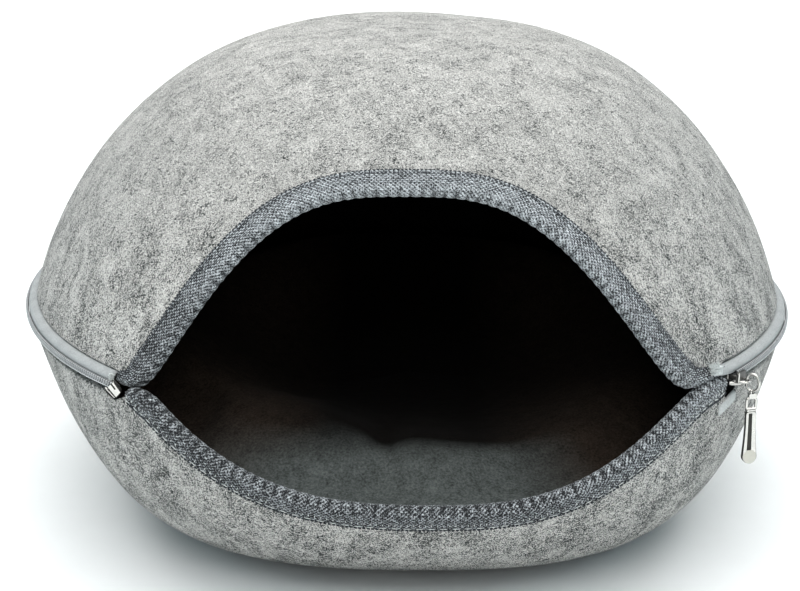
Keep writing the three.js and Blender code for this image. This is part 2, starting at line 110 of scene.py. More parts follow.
class Finish:
    """A new node material, with short ways to place nodes and join them."""

    def __init__(self, name, **surface):
        self.material = bpy.data.materials.new(name)
        self.material.use_nodes = True
        self.nodes = self.material.node_tree.nodes
        self.links = self.material.node_tree.links
        self.surface = self.nodes["Principled BSDF"]
        for socket, value in surface.items():
            self.surface.inputs[socket.replace("_", " ")].default_value = value

    def add(self, kind, inputs=None, **settings):
        node = self.nodes.new("ShaderNode" + kind)
        for key, value in settings.items():
            setattr(node, key, value)
        for socket, value in (inputs or {}).items():
            if isinstance(value, bpy.types.NodeSocket):
                self.links.new(value, node.inputs[socket])
            else:
                node.inputs[socket].default_value = value
        return node

    def place(self):
        return self.add("TexCoord").outputs["Object"]

    def marked(self, label):
        """A number that the points of a piece carry under a label."""
        return self.add("Attribute", attribute_name=label).outputs["Fac"]

    def noise(self, place, scale, detail=2.0, roughness=0.5, distortion=0.0):
        settings = {"Vector": place, "Scale": scale, "Detail": detail,
                    "Roughness": roughness, "Distortion": distortion}
        return self.add("TexNoise", settings).outputs[0]

    def math(self, operation, first, second=0.0, third=0.0):
        return self.add("Math", {0: first, 1: second, 2: third}, operation=operation).outputs[0]

    def span(self, value, low, high, to_low=0.0, to_high=1.0):
        """The value's range from low to high, stretched to another range and held there."""
        settings = {"Value": value, "From Min": low, "From Max": high,
                    "To Min": to_low, "To Max": to_high}
        return self.add("MapRange", settings).outputs[0]

    def total(self, start, *parts):
        """A starting number plus each (value, weight) pair."""
        result = start
        for value, weight in parts:
            result = self.math("MULTIPLY_ADD", value, weight, result)
        return result

    def colours(self, value, dark, light, low=0.0, high=1.0):
        """From a dark colour at a low value to a light one at a high value."""
        blend = self.add("ValToRGB", {"Fac": value})
        first, last = blend.color_ramp.elements
        first.position, last.position = low, high
        first.color, last.color = dark, light
        return blend.outputs[0]

    def set(self, socket, value):
        self.links.new(value, self.surface.inputs[socket])

    def tint(self, value, dark, light, low=0.0, high=1.0):
        self.set("Base Color", self.colours(value, dark, light, low, high))

    def bump(self, height, distance, strength=1.0):
        settings = {"Height": height, "Distance": distance, "Strength": strength}
        self.set("Normal", self.add("Bump", settings).outputs[0])


def shade(red, green, blue):
    """A screen colour of 0 to 255 as the linear colour that a shader takes."""
    def linear(level):
        level = level / 255
        return level / 12.92 if level <= 0.04045 else ((level + 0.055) / 1.055) ** 2.4
    return (linear(red), linear(green), linear(blue), 1.0)


floor_finish = Finish("floor_paper", Roughness=0.9, Specular_IOR_Level=0.1)
paper = floor_finish.noise(floor_finish.place(), 40.0, 3.0)
floor_finish.tint(paper, shade(246, 248, 248), shade(250, 253, 253))
floor_mesh.materials.append(floor_finish.material)


# Felt shells
# Two moulded halves of 4 mm heather felt: a bowl with a flat base and a dome over it.
# Their edges meet at the zip, and the mouth is cut out of both at the front.
width, depth, height = 0.400, 0.460, 0.240
zip_height = 0.105
felt = 0.004
felt_corner = 0.0008
edge_band = 0.0026
corner_edge = 0.0024
felt_zip_right = math.radians(46.6)
felt_zip_left = math.radians(-41.0)
gape_right, gape_closing, gape_left = 3.4, 2.2, 1.6  # degrees past the zip's ends

felt_mouth_columns, felt_zip_columns = 181, 289
trace_steps = 4000
band_rows, climb_rows, corner_rows = 4, 46, 5
climb_power = 1.1
evening_reach, evening_pace = 14, 12
dark_past_right, dark_past_left = 12, 8  # columns past the mouth whose cut edge lies in shadow

lean_top, lean_base = 0.0020, 0.0035
sag_right, sag_left, sag_reach = 0.005, 0.002, 0.070


def settled(points):
    """Points moved by the soft body's lean to one side and its sag beside the mouth."""
    x, y, z = points[..., 0], points[..., 1], points[..., 2]
    above = np.clip(z - zip_height, 0, None) / (height - zip_height)
    below = np.clip(zip_height - z, 0, None) / zip_height
    beside = np.minimum(np.abs(x) / (width / 2), 1) ** 8
    near_zip = np.clip(1 - np.abs(z - zip_height) / sag_reach, 0, None) ** 1.5
    sag = np.where(x > 0, sag_right, sag_left) * beside * near_zip
    return np.stack([x + lean_top * above ** 3 + lean_base * below, y, z - sag], -1)


def plan_point(angle, inset, share, z):
    """A point round the oval plan, with angle 0 at the middle of the mouth."""
    angle, share, z = np.broadcast_arrays(angle, share, z)
    x = (width / 2 - inset) * share * np.sin(angle)
    y = -(depth / 2 - inset) * share * np.cos(angle)
    return np.stack([x, y, z], -1)


class Dome:
    """Outer face of the upper shell, by angle round the plan and slope from rim to crown."""
    up = 1.0
    inset = 0.005
    fullness = 2.92
    crown = 1.28
    zip_edge = 0.0046
    corner_gape, corner_gape_left = 0.0004, 0.0
    last_slope = math.radians(86)
    rise = height - zip_height

    @classmethod
    def slope_at(cls, rise):
        return np.arcsin((rise / cls.rise) ** (cls.crown / 2))

    @classmethod
    def share(cls, slope):
        return np.clip(np.cos(slope), 0, 1) ** (2 / cls.fullness)

    @classmethod
    def point(cls, angle, slope):
        z = zip_height + cls.rise * np.clip(np.sin(slope), 0, 1) ** (2 / cls.crown)
        return plan_point(angle, cls.inset, cls.share(slope), z)

    @classmethod
    def angle_at(cls, x, slope):
        return np.arcsin(x / ((width / 2 - cls.inset) * cls.share(slope)))


class Bowl:
    """Outer face of the lower shell, by angle round the plan and slope from rim to base."""
    up = -1.0
    inset = 0.002
    fullness = 2.55
    flare = 1.02
    base_share = 0.518
    squareness = 0.8
    zip_edge = 0.0056
    corner_gape, corner_gape_left = 0.0066, 0.0028
    last_slope = math.pi / 2

    @classmethod
    def slope_at(cls, drop):
        return np.arcsin((drop / zip_height) ** (cls.flare / 2))

    @classmethod
    def share(cls, slope):
        return cls.base_share + (1 - cls.base_share) * np.clip(np.cos(slope), 0, 1) ** (2 / cls.fullness)

    @classmethod
    def drop(cls, slope):
        return zip_height * np.clip(np.sin(slope), 0, 1) ** (2 / cls.flare)

    @classmethod
    def point(cls, angle, slope):
        power = 2 + cls.squareness * cls.drop(slope) / zip_height
        square = (np.abs(np.sin(angle)) ** power + np.abs(np.cos(angle)) ** power) ** (-1 / power)
        return plan_point(angle, cls.inset, square * cls.share(slope), zip_height - cls.drop(slope))

    @classmethod
    def angle_at(cls, x, slope):
        power = 2 + cls.squareness * cls.drop(slope) / zip_height
        across = (np.abs(x) / ((width / 2 - cls.inset) * cls.share(slope))) ** power
        return np.sign(x) * np.arctan((across / (1 - across)) ** (1 / power))


class MouthEdge:
    """The bell-shaped cut of the mouth in one shell, with its own half width, shoulder and flare
    on each side of its middle, and how wide its binding is along it."""
    rounding = np.linspace(-0.004, 0.004, 9)

    def __init__(self, **sizes):
        self.__dict__.update(sizes)

    def bell(self, x):
        """Height of the cut, averaged over a short stretch so that its corners are round."""
        return np.mean([self.sharp_bell(x + shift) for shift in self.rounding], axis=0)

    def sharp_bell(self, x):
        on_left = x < self.middle
        half_width = np.where(on_left, self.half_left, self.half_right)
        from_middle = np.clip(np.abs(x - self.middle) / half_width, 0, 1)
        shoulder = np.where(on_left, self.shoulder_left, self.shoulder_right)
        flare = np.where(on_left, self.flare_left, self.flare_right)
        return self.rise * (1 - from_middle ** shoulder) ** flare

    def face_width(self, x):
        face = self.side_face + (self.middle_face - self.side_face) * self.bell(x) / self.rise
        left_room = (x - self.left_tip) * self.left_taper
        right_room = (self.right_tip - x) * self.right_taper
        return np.minimum(face, np.minimum(left_room, right_room))


arch = MouthEdge(middle=0.0010, half_left=0.1195, half_right=0.1222, rise=0.0857,
                 shoulder_left=2.90, shoulder_right=2.66, flare_left=1.27, flare_right=1.34,
                 side_face=0.0082, middle_face=0.0073,
                 left=-0.126, left_tip=-0.131, left_taper=0.5,
                 right=0.1405, right_tip=0.1460, right_taper=0.30)
lip = MouthEdge(middle=0.0124, half_left=0.1255, half_right=0.1210, rise=0.0455,
                shoulder_left=2.84, shoulder_right=2.84, flare_left=1.0, flare_right=1.45,
                side_face=0.0060, middle_face=0.0069,
                left=-0.121, left_tip=-0.125, left_taper=0.65,
                right=0.1406, right_tip=0.1460, right_taper=0.65)


def unit(vectors):
    return vectors / np.linalg.norm(vectors, axis=-1, keepdims=True)


def face_normals(shell, angle, slope):
    """Directions straight out of a shell's face."""
    step = 1e-4
    along = shell.point(angle + step, slope) - shell.point(angle - step, slope)
    up = shell.point(angle, slope + step) - shell.point(angle, slope - step)
    normals = unit(np.cross(along, up))
    angle, slope = np.broadcast_arrays(angle, slope)
    outward = np.stack([np.sin(angle), -np.cos(angle), np.full(angle.shape, shell.up)], -1)
    normals *= np.sign((normals * outward).sum(-1, keepdims=True))
    normals[slope > math.pi / 2 - 1e-3] = (0, 0, shell.up)
    return normals


def run_along(line):
    """Distance along a line of points, at each of them."""
    return np.concatenate([[0], np.cumsum(np.linalg.norm(np.diff(line, axis=0), axis=1))])


def edge_columns(shell, mouth, mouth_count, zip_count):
    """Columns round a shell's edge: evenly along the cut of the mouth, then along the zip, where
    they stand closer together near its two ends."""
    x = np.linspace(mouth.left, mouth.right, trace_steps)
    slope = shell.slope_at(corner_edge + mouth.bell(x))
    run = run_along(shell.point(shell.angle_at(x, slope), slope))
    x = np.interp(np.linspace(0, run[-1], mouth_count), run, x)
    mouth_slope = shell.slope_at(corner_edge + mouth.bell(x))
    share = np.linspace(0, 1, zip_count)
    share = 0.3 * share + 0.35 * (1 - np.cos(math.pi * share))
    zip_angle = felt_zip_right + (2 * math.pi + felt_zip_left - felt_zip_right) * share
    past_right = np.degrees(zip_angle - felt_zip_right)
    past_left = np.degrees(2 * math.pi + felt_zip_left - zip_angle)
    gape = shell.corner_gape * np.clip((gape_right - past_right) / gape_closing, 0, 1) ** 1.5
    gape = gape + shell.corner_gape_left * np.clip(1 - past_left / gape_left, 0, 1) ** 0.5
    zip_slope = shell.slope_at(shell.zip_edge + gape)
    angle = np.concatenate([shell.angle_at(x, mouth_slope), zip_angle])
    slope = np.concatenate([mouth_slope, zip_slope])
    face = np.concatenate([mouth.face_width(x), np.zeros(zip_count)])
    edge = shell.point(angle, slope)
    out = face_normals(shell, angle, slope)
    inward = unit(np.cross(np.roll(edge, -1, 0) - np.roll(edge, 1, 0), out))
    inward *= np.sign(inward[:, 2:] * shell.up)
    return SimpleNamespace(angle=angle, slope=slope, face=face, edge=edge, out=out,
                           inward=inward, run=run[-1])


def on_face(shell, columns, distance):
    """Angles and slopes of the face at a distance in from the cut edge."""
    spot = columns.edge + columns.inward * np.reshape(distance, (-1, 1))
    angle = np.arctan2(spot[:, 0] / (width / 2 - shell.inset), -spot[:, 1] / (depth / 2 - shell.inset))
    angle = columns.angle + (angle - columns.angle + math.pi) % (2 * math.pi) - math.pi
    return angle, shell.slope_at(np.maximum(shell.up * (spot[:, 2] - zip_height), 1e-6))


def net_faces(rows, columns, close_rows=False, close_columns=True, start=0):
    """Four-sided faces of a net of points, row after row."""
    row = np.arange(rows if close_rows else rows - 1)[:, None]
    column = np.arange(columns if close_columns else columns - 1)[None, :]
    next_row, next_column = (row + 1) % rows, (column + 1) % columns
    corners = [row * columns + column, row * columns + next_column,
               next_row * columns + next_column, next_row * columns + column]
    return np.stack(np.broadcast_arrays(*corners), -1).reshape(-1, 4) + start


def outward_mesh(name, points, faces):
    """A mesh from points in metres, with its normals turned outward."""
    mesh = bpy.data.meshes.new(name)
    mesh.from_pydata(np.asarray(points).reshape(-1, 3).tolist(), [], [list(face) for face in faces])
    mesh.validate()
    shaped = bmesh.new()
    shaped.from_mesh(mesh)
    bmesh.ops.recalc_face_normals(shaped, faces=shaped.faces)
    shaped.to_mesh(mesh)
    shaped.free()
    return mesh


def make_piece(name, points, faces, *finishes):
    """A smooth mesh object with its materials, which rides on the part's one body."""
    mesh = outward_mesh(name, points, faces)
    mesh.polygons.foreach_set("use_smooth", [True] * len(mesh.polygons))
    for finish in finishes:
        mesh.materials.append(finish.material)
    piece = bpy.data.objects.new(name, mesh)
    bpy.context.scene.collection.objects.link(piece)
    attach(piece, "root")
    return piece


def evened(angle, reach):
    """Angles round a full turn, averaged with their neighbours on both sides."""
    wide = np.concatenate([angle[-reach:] - 2 * math.pi, angle, angle[:reach] + 2 * math.pi])
    return np.convolve(wide, np.ones(2 * reach + 1) / (2 * reach + 1), "valid")


def felt_rows(shell, columns, flat_rows):
    """Rows of points down the outer face, round the felt's soft edge and back up inside."""
    nets = []
    for distance in np.linspace(edge_band, felt_corner, band_rows):
        nets.append(on_face(shell, columns, distance))
    start_angle, start_slope = nets[0]
    even_angle = evened(start_angle, evening_reach)
    climb = np.linspace(1.0, 0.0, climb_rows)[:-1]
    for place, step in enumerate(climb):
        slope = start_slope + (shell.last_slope - start_slope) * step ** climb_power
        angle = start_angle + (even_angle - start_angle) * min(step * evening_pace, 1.0)
        nets.insert(place, (angle, slope))
    outer, inner = [], []
    for angle, slope in nets:
        point, out = shell.point(angle, slope), face_normals(shell, angle, slope)
        uneven = waviness(point)[:, None] * out
        outer.append(point + uneven)
        inner.append(point - felt * out + uneven)
    middle = outer[0] * (1, 1, 0)
    flat = [np.stack([middle[:, 0] * share, middle[:, 1] * share, outer[0][:, 2]], -1)
            for share in np.linspace(0, 1, flat_rows + 2)[1:-1]]
    rise = np.array([0, 0, -shell.up * felt])
    rounded = []
    for centre in (-felt_corner, felt_corner - felt):
        first_turn = 0.0 if centre > -felt / 2 else math.pi / 2
        for turn in np.linspace(first_turn, first_turn + math.pi / 2, corner_rows):
            inward = columns.inward * felt_corner * (1 - math.sin(turn))
            rounded.append(columns.edge + inward + columns.out * (centre + felt_corner * math.cos(turn)))
    return flat + outer + rounded + inner[::-1] + [ring + rise for ring in flat[::-1]]


def waviness(points):
    """The slow unevenness that hand-moulded felt keeps, in metres."""
    x, y, z = points[..., 0], points[..., 1], points[..., 2]
    slow = np.sin(34 * x + 21 * z + 1.3) * np.sin(27 * y - 16 * z + 0.4)
    quick = np.sin(71 * x - 43 * y + 2.1) * np.sin(63 * z + 38 * y + 0.9)
    return (0.0005 * slow + 0.0002 * quick) * np.clip(z / 0.03, 0, 1)


def capped_faces(rows, columns):
    """Faces of closed rows of points, with a fan to one more point at each end. The two points
    come after the rows."""
    faces = net_faces(rows, columns).tolist()
    first, last = rows * columns, (rows - 1) * columns
    for column in range(columns):
        following = (column + 1) % columns
        faces.append([first, following, column])
        faces.append([first + 1, last + column, last + following])
    return faces


def felt_shell(name, shell, mouth, flat_rows):
    """One shell, with a near-black felt painted as shade on its inside and on the cut edge of the mouth.
    """
    columns = edge_columns(shell, mouth, felt_mouth_columns, felt_zip_columns)
    rows = felt_rows(shell, columns, flat_rows)
    count = len(columns.angle)
    outside = np.array([[0, 0, rows[0][:, 2].mean()]])
    inside = np.array([[0, 0, rows[-1][:, 2].mean()]])
    if shell is Dome:
        outside[0, 2], inside[0, 2] = height, height - felt
    points = settled(np.concatenate(rows + [outside, inside]))
    faces = capped_faces(len(rows), count)
    if shell is Bowl:
        faces = [face[::-1] for face in faces]
    piece = make_piece(name, points, faces, felt_outside, shadow_painted_felt)
    # Painted shade: the inside faces, and the cut edge in the columns past the mouth's ends, take the
    # near-black felt.
    cut_row, inner_row = len(rows) // 2 - 2, len(rows) // 2 + 4
    in_mouth = [column < felt_mouth_columns + dark_past_right or column > count - dark_past_left
                for column in range(count)]
    hidden_from = [cut_row if dark else inner_row for dark in in_mouth]
    marks = [1 if index // count >= hidden_from[index % count] else 0
             for index in range((len(rows) - 1) * count)]
    marks += [0, 1] * count
    piece.data.polygons.foreach_set("material_index", marks)
    return piece


def felt_finish(name, dark, light):
    """Heather felt: slow clouds, fine grain and short fibres, darker and paler than the ground, painted
    darker lower down as shade.
    """
    finish = Finish(name, Roughness=0.95, Specular_IOR_Level=0.1)
    place = finish.place()
    drawn = finish.add("Mapping", {"Vector": place, "Scale": (1.0, 1.0, 0.6)}).outputs[0]
    clouds = finish.noise(drawn, 75.0, 4.0, 0.65, 0.6)
    tufts = finish.noise(place, 320.0, 3.0, 0.65)
    grain = finish.noise(place, 1600.0, 2.0, 0.75)

    def fibres(scale, shift, thin, bare, full):
        moved = finish.add("Mapping", {"Vector": place, "Location": shift}).outputs[0]
        line = finish.noise(moved, scale, 1.0, 0.5, 1.2)
        line = finish.math("ABSOLUTE", finish.math("SUBTRACT", line, 0.5))
        kept = finish.span(finish.noise(moved, scale * 1.3, 1.0), bare, full)
        return finish.math("MULTIPLY", finish.span(line, thin * 0.4, thin, 1.0, 0.0), kept)

    dark_fibres = fibres(620.0, (0.3, 0.1, 0.7), 0.10, 0.50, 0.56)
    pale_fibres = fibres(700.0, (1.9, 2.3, 0.2), 0.10, 0.50, 0.56)
    wisps = finish.span(finish.noise(drawn, 105.0, 3.0, 0.6, 1.2), 0.46, 0.64)
    dark_wisps = finish.math("MULTIPLY", dark_fibres, wisps)
    tone = finish.total(-1.85, (clouds, 0.74), (wisps, -0.05), (tufts, 0.38), (grain, 2.7),
                        (dark_wisps, -0.55), (pale_fibres, 0.20))
    low_down = finish.add("SeparateXYZ", {"Vector": place}).outputs["Z"]
    # Painted shade: the felt is painted darker lower down, where less light reaches the bowl, and its
    # grain has more contrast there as painted relief shade.
    shade_contrast = finish.span(low_down, 0.05, 0.19, 3.3, 1.1)
    tone = finish.math("MULTIPLY_ADD", tone, shade_contrast, finish.span(low_down, 0.02, 0.20, 0.31, 0.515))
    finish.tint(tone, dark, light)
    relief = finish.total(0.0, (tufts, 0.35), (grain, 0.7), (dark_fibres, -0.3), (pale_fibres, 0.4))
    finish.bump(relief, 0.0011, 0.9)
    return finish


felt_outside = felt_finish("heather_felt", shade(60, 65, 64), shade(226, 225, 221))
# Painted shade: a near-black copy of the pale felt, for faces that lie in shade.
shadow_painted_felt = felt_finish("shadow_painted_felt", shade(12, 12, 11), shade(38, 38, 36))

bowl_shell = felt_shell("felt_bowl", Bowl, lip, 5)
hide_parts("bottom_shell")

dome_shell = felt_shell("felt_dome", Dome, arch, 0)
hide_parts("top_shell")


# Mouth bindings
# Woven webbing folded in two over the cut felt of the arch and of the lip, and sewn
# through: thick pale yarns in short floats, with painted shade in the gaps between them.
webbing = 0.0015
binding_gap = 0.00035
binding_nose = 0.00275
yarn_pitch, yarn_row = 0.0020, 0.00092
yarn_relief = 0.0006
loop_pitch, loop_relief, loop_reach = 0.0049, 0.0008, 0.0032
binding_columns, sewing_columns, spare_columns = 1080, 860, 60
sewing_margin = 0.0012
outer_rows, fold_rows, inner_rows = 32, 24, 12
under_rows, under_fold_rows = 4, 7


def weave(along, across):
    """Height of the yarns, 0 in the gaps to 1 on their backs, and each yarn's own tone."""
    row = np.round(across / yarn_row)
    from_row = across / yarn_row - row
    run = along / yarn_pitch + 0.5 * (row % 2) + 0.1 * from_row
    yarn = np.floor(run)
    from_yarn = run - yarn - 0.5
    pillow = (1 - (2 * np.abs(from_row)) ** 2) * (1 - (2 * np.abs(from_yarn)) ** 3)
    # The steep wave gives each yarn a number that looks drawn by chance and never changes.
    tone = np.sin(row * 12.9898 + yarn * 78.233) * 43758.5453
    return pillow, tone - np.floor(tone)


def webbing_finish(name, dark, light):
    finish = Finish(name, Roughness=0.8, Specular_IOR_Level=0.25, Sheen_Weight=0.1, Sheen_Roughness=0.5)
    # Painted shade: the colour follows the yarn height, dark in the gaps between yarns.
    yarn = finish.marked("yarn_height")
    tone = finish.marked("yarn_tone")
    place = finish.place()
    strands = finish.noise(place, 1700.0, 2.0, 0.6)
    wear = finish.noise(place, 90.0, 2.0)
    sides = finish.add("SeparateXYZ", {"Vector": place}).outputs
    # Painted light: the webbing is painted lighter higher up, where the light from above falls on it; it
    # is also a little darker along its left run.
    crown = finish.span(sides["Z"], 0.06, 0.18)
    left_run = finish.span(sides["X"], -0.11, -0.05, 1.0, 0.0)
    value = finish.total(-1.78, (yarn, 0.85), (tone, 0.30), (strands, 2.3), (wear, 0.2), (crown, 0.24),
                         (left_run, -0.12))
    finish.tint(value, dark, light)
    finish.bump(finish.total(0.0, (strands, 0.6), (yarn, 0.4)), 0.0004, 0.6)
    return finish


def mouth_columns(shell, mouth, count):
    """Columns along the cut of the mouth only."""
    columns = edge_columns(shell, mouth, count, spare_columns)
    for key in ("angle", "slope", "face", "edge", "out", "inward"):
        setattr(columns, key, getattr(columns, key)[:count])
    return columns


def tube_faces(points):
    """Faces of closed sections one after another, with the first and the last filled in."""
    count, size = points.shape[:2]
    faces = net_faces(count, size).tolist()
    first, last = ([Vector(point) for point in points[row]] for row in (0, -1))
    end = (count - 1) * size
    faces += [list(triangle)[::-1] for triangle in tessellate_polygon([first])]
    faces += [[end + corner for corner in triangle] for triangle in tessellate_polygon([last])]
    return faces


def mark_points(piece, label, values):
    """Keeps a number at each point of a piece, for its material to read."""
    layer = piece.data.attributes.new(label, "FLOAT", "POINT")
    layer.data.foreach_set("value", np.ravel(values))


def mouth_binding(name, shell, mouth, finish):
    """A folded strip round one cut edge: outer face, nose, inner face and the underside."""
    columns = mouth_columns(shell, mouth, binding_columns)
    outer_face = binding_gap + webbing
    half_fold = felt / 2 + outer_face
    fold_reach = math.pi / 2 * math.sqrt((half_fold ** 2 + binding_nose ** 2) / 2)
    along = np.linspace(0, columns.run, binding_columns)
    middle = columns.edge - columns.out * felt / 2
    rows, heights, tones = [], [], []

    def lay(points, out, across, raised):
        yarn, tone = weave(along, across)
        if not raised:
            yarn, tone = yarn * 0, tone * 0
        on_nose = np.clip(1.3 - np.abs(across) / loop_reach, 0, 1)
        loops = np.abs(np.sin(math.pi * along / loop_pitch)) ** 0.8
        lift = ((yarn - 0.6) * yarn_relief + (loops - 0.5) * loop_relief * on_nose) * raised
        rows.append(points + out * lift[:, None])
        # The heights also set the colour: painted shade in the gaps and between the loops on the nose.
        heights.append(yarn * (1 + 0.7 * on_nose * (loops - 0.75)))
        tones.append(tone)

    def lay_face(side, share, inside, raised):
        distance = columns.face * share
        angle, slope = on_face(shell, columns, distance)
        out = face_normals(shell, angle, slope)
        level = outer_face if not inside else binding_gap
        point = shell.point(angle, slope) + out * (level if side > 0 else -felt - level)
        lay(point, out * side, side * (fold_reach + distance), raised)

    def lay_fold(turn, reach, nose, raised):
        point = middle + columns.out * (reach * math.cos(turn)) - columns.inward * (nose * math.sin(turn))
        out = unit(columns.out * (math.cos(turn) / reach) - columns.inward * (math.sin(turn) / nose))
        lay(point, out, np.full(binding_columns, fold_reach * (1 - 2 * turn / math.pi)), raised)

    for share in np.linspace(1, 0, outer_rows):
        lay_face(1, share, False, 1.0)
    for turn in np.linspace(0, math.pi, fold_rows)[1:-1]:
        lay_fold(turn, half_fold, binding_nose, 1.0)
    for share in np.linspace(0, 1, inner_rows):
        lay_face(-1, share, False, 1.0)
    for share in np.linspace(1, 0, under_rows):
        lay_face(-1, share, True, 0.0)
    for turn in np.linspace(math.pi, 0, under_fold_rows)[1:-1]:
        lay_fold(turn, felt / 2 + binding_gap, binding_nose - webbing, 0.0)
    for share in np.linspace(0, 1, under_rows):
        lay_face(1, share, True, 0.0)

    points = settled(np.stack(rows, 1))
    piece = make_piece(name, points, tube_faces(points), finish)
    mark_points(piece, "yarn_height", np.stack(heights, 1))
    mark_points(piece, "yarn_tone", np.stack(tones, 1))
    return piece


def rod_net(path, radii, closed=False, sides=8):
    """Points and faces of a round bar or thread along a path, with a radius at each point."""
    path = np.asarray(path, float)
    radii = np.broadcast_to(radii, len(path))
    if closed:
        ahead = unit(np.roll(path, -1, 0) - np.roll(path, 1, 0))
    else:
        ahead = unit(np.gradient(path, axis=0))
    steady = np.eye(3)[np.argmin(np.abs(ahead).max(0))]
    side = unit(np.cross(ahead, steady))
    other = np.cross(ahead, side)
    turn = np.linspace(0, 2 * math.pi, sides, endpoint=False)
    ring = side[:, None] * np.cos(turn)[:, None] + other[:, None] * np.sin(turn)[:, None]
    points = (path[:, None] + ring * radii[:, None, None]).reshape(-1, 3)
    faces = net_faces(len(path), sides, close_rows=closed).tolist()
    if not closed:
        faces.append(list(range(sides)))
        faces.append(list(range((len(path) - 1) * sides, len(path) * sides)))
    return points, faces


def joined(nets):
    """Several nets of points and faces as one."""
    points, faces = [], []
    for net_points, net in nets:
        faces += [[corner + len(points) for corner in face] for face in net]
        points += np.asarray(net_points).tolist()
    return points, faces


def sewn_row(shell, mouth, inside, level, pitch, length, radius, across=False, ends=None):
    """Short threads in a row along a binding, at a distance inside its felt-side edge, or only
    along a stretch at each of its ends."""
    columns = mouth_columns(shell, mouth, sewing_columns)
    run = np.linspace(0, columns.run, sewing_columns)

    def line(distance, height):
        angle, slope = on_face(shell, columns, distance)
        return settled(shell.point(angle, slope) + height * face_normals(shell, angle, slope))

    def at(track, spot):
        return np.stack([np.interp(spot, run, track[:, axis]) for axis in range(3)], -1)

    tracks = [line(columns.face - inside + shift, level + lift)
              for shift, lift in ((-length / 2, 0), (0, radius), (length / 2, 0))]
    shares = np.array([-0.5, -0.25, 0.25, 0.5])
    nets = []
    for spot in np.arange(sewing_margin, columns.run - sewing_margin, pitch):
        if ends and ends < spot < columns.run - ends:
            continue
        if across:
            path = [at(track, spot) for track in tracks]
            nets.append(rod_net(path, [radius * 0.6, radius, radius * 0.6], sides=6))
        else:
            path = at(tracks[1], spot + shares * length)
            nets.append(rod_net(path, [radius * 0.4, radius, radius, radius * 0.4], sides=6))
    return nets


webbing_yarn = webbing_finish("webbing_yarn", shade(20, 22, 25), shade(224, 231, 235))

arch_binding = mouth_binding("arch_binding", Dome, arch, webbing_yarn)
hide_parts("mouth_binding_upper")

lip_binding = mouth_binding("lip_binding", Bowl, lip, webbing_yarn)
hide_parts("mouth_binding_lower")


def sewing_finish(name, dark, light):
    finish = Finish(name, Roughness=0.7, Specular_IOR_Level=0.3)
    twist = finish.noise(finish.place(), 2500.0, 1.0)
    finish.tint(twist, dark, light, 0.3, 0.7)
    finish.bump(twist, 0.0002, 0.5)
    return finish


dark_thread = sewing_finish("dark_thread", shade(26, 29, 33), shade(66, 71, 77))
pale_thread = sewing_finish("pale_thread", shade(178, 184, 184), shade(234, 238, 236))

# Painted shade: the edge row is dark thread standing partly for real whip stitches and partly for the
# shadowed gap at the binding's edge; the row inside it is stitching.
arch_rows = sewn_row(Dome, arch, inside=0.0002, level=0.0019, pitch=0.0017, length=0.0011, radius=0.00027)
arch_rows += sewn_row(Dome, arch, inside=0.0019, level=0.0021, pitch=0.0017, length=0.0011, radius=0.00024)
arch_sewing_and_edge_shade = make_piece("arch_sewing_and_edge_shade", *joined(arch_rows), dark_thread)

# Painted shadow: the edge row is partly stitching and partly the shadowed gap; the thick dark rod at each
# end of the lip is a painted shadow in the gap beside the felt.
lip_edge = sewn_row(Bowl, lip, inside=0.0002, level=0.0019, pitch=0.0018, length=0.0014, radius=0.00036)
lip_edge += sewn_row(Bowl, lip, inside=-0.0006, level=0.0004, pitch=0.0014, length=0.0024, radius=0.0008,
                     ends=0.019)
lip_edge_sewing_and_shadow = make_piece("lip_edge_sewing_and_shadow", *joined(lip_edge), dark_thread)

lip_rows = sewn_row(Bowl, lip, inside=0.0014, level=0.0021, pitch=0.0052, length=0.0030, radius=0.00020)
lip_rows += sewn_row(Bowl, lip, inside=0.0032, level=0.0019, pitch=0.0026, length=0.0015, radius=0.00020,
                     across=True)
lip_sewing = make_piece("lip_sewing", *joined(lip_rows), pale_thread)


# Zip tapes
# Two woven tapes sewn inside the felt edges all round, from one corner of the mouth to
# the other. They bulge between the felt and the chain, and part behind the slider.
# The lower one runs on inside the bowl's rim, and its loose end lies beside the lip.
tape_right, tape_left = 44.4, -41.2
lower_tape_right = 47.4
tape_parted_to = 47.5
tape_parted_edge, tape_closed_edge = 1.7, 0.4  # mm, as the sections below
tape_columns = 720
tape_spread = 0.22
wing_right, wing_left, wing_growth = 49.6, -43.0, 1.4
tape_rib = 0.0006
fray_radius, fray_insets, fray_least_inset = 0.00020, (0.0014, 0.0034), 0.0012


def rounded_section(corners, times=2):
    """A closed outline with its corners cut off, again and again, until it looks round."""
    corners = np.array(corners)
    for _ in range(times):
        after = np.roll(corners, -1, 0)
        cuts = [corners * 0.75 + after * 0.25, corners * 0.25 + after * 0.75]
        corners = np.stack(cuts, 1).reshape(-1, 2)
    return corners


def upper_tape_section(edge):
    return [(9.6, 3.35), (6.2, 4.35), (4.2, 4.25), (2.4, 3.55), (1.5, 2.4), (1.75, edge),
            (2.85, edge), (2.6, 2.0), (3.2, 2.7), (4.5, 3.15), (6.1, 3.2), (9.3, 2.25)]


lower_tape_end = [(6.8, -2.0), (7.1, -2.3), (7.3, -2.7), (7.2, -3.0), (6.4, -3.3)]
lower_tape_wing = [(8.3, -3.3), (9.6, -4.6), (10.6, -8.8), (9.9, -8.9), (8.8, -4.9)]


def lower_tape_section(edge, end=lower_tape_end):
    return [(4.8, -3.75), (3.5, -3.5), (2.3, -2.7), (1.65, -1.9), (1.75, -edge),
            (2.85, -edge), (2.75, -1.6), (3.3, -2.3), (4.6, -2.7)] + end


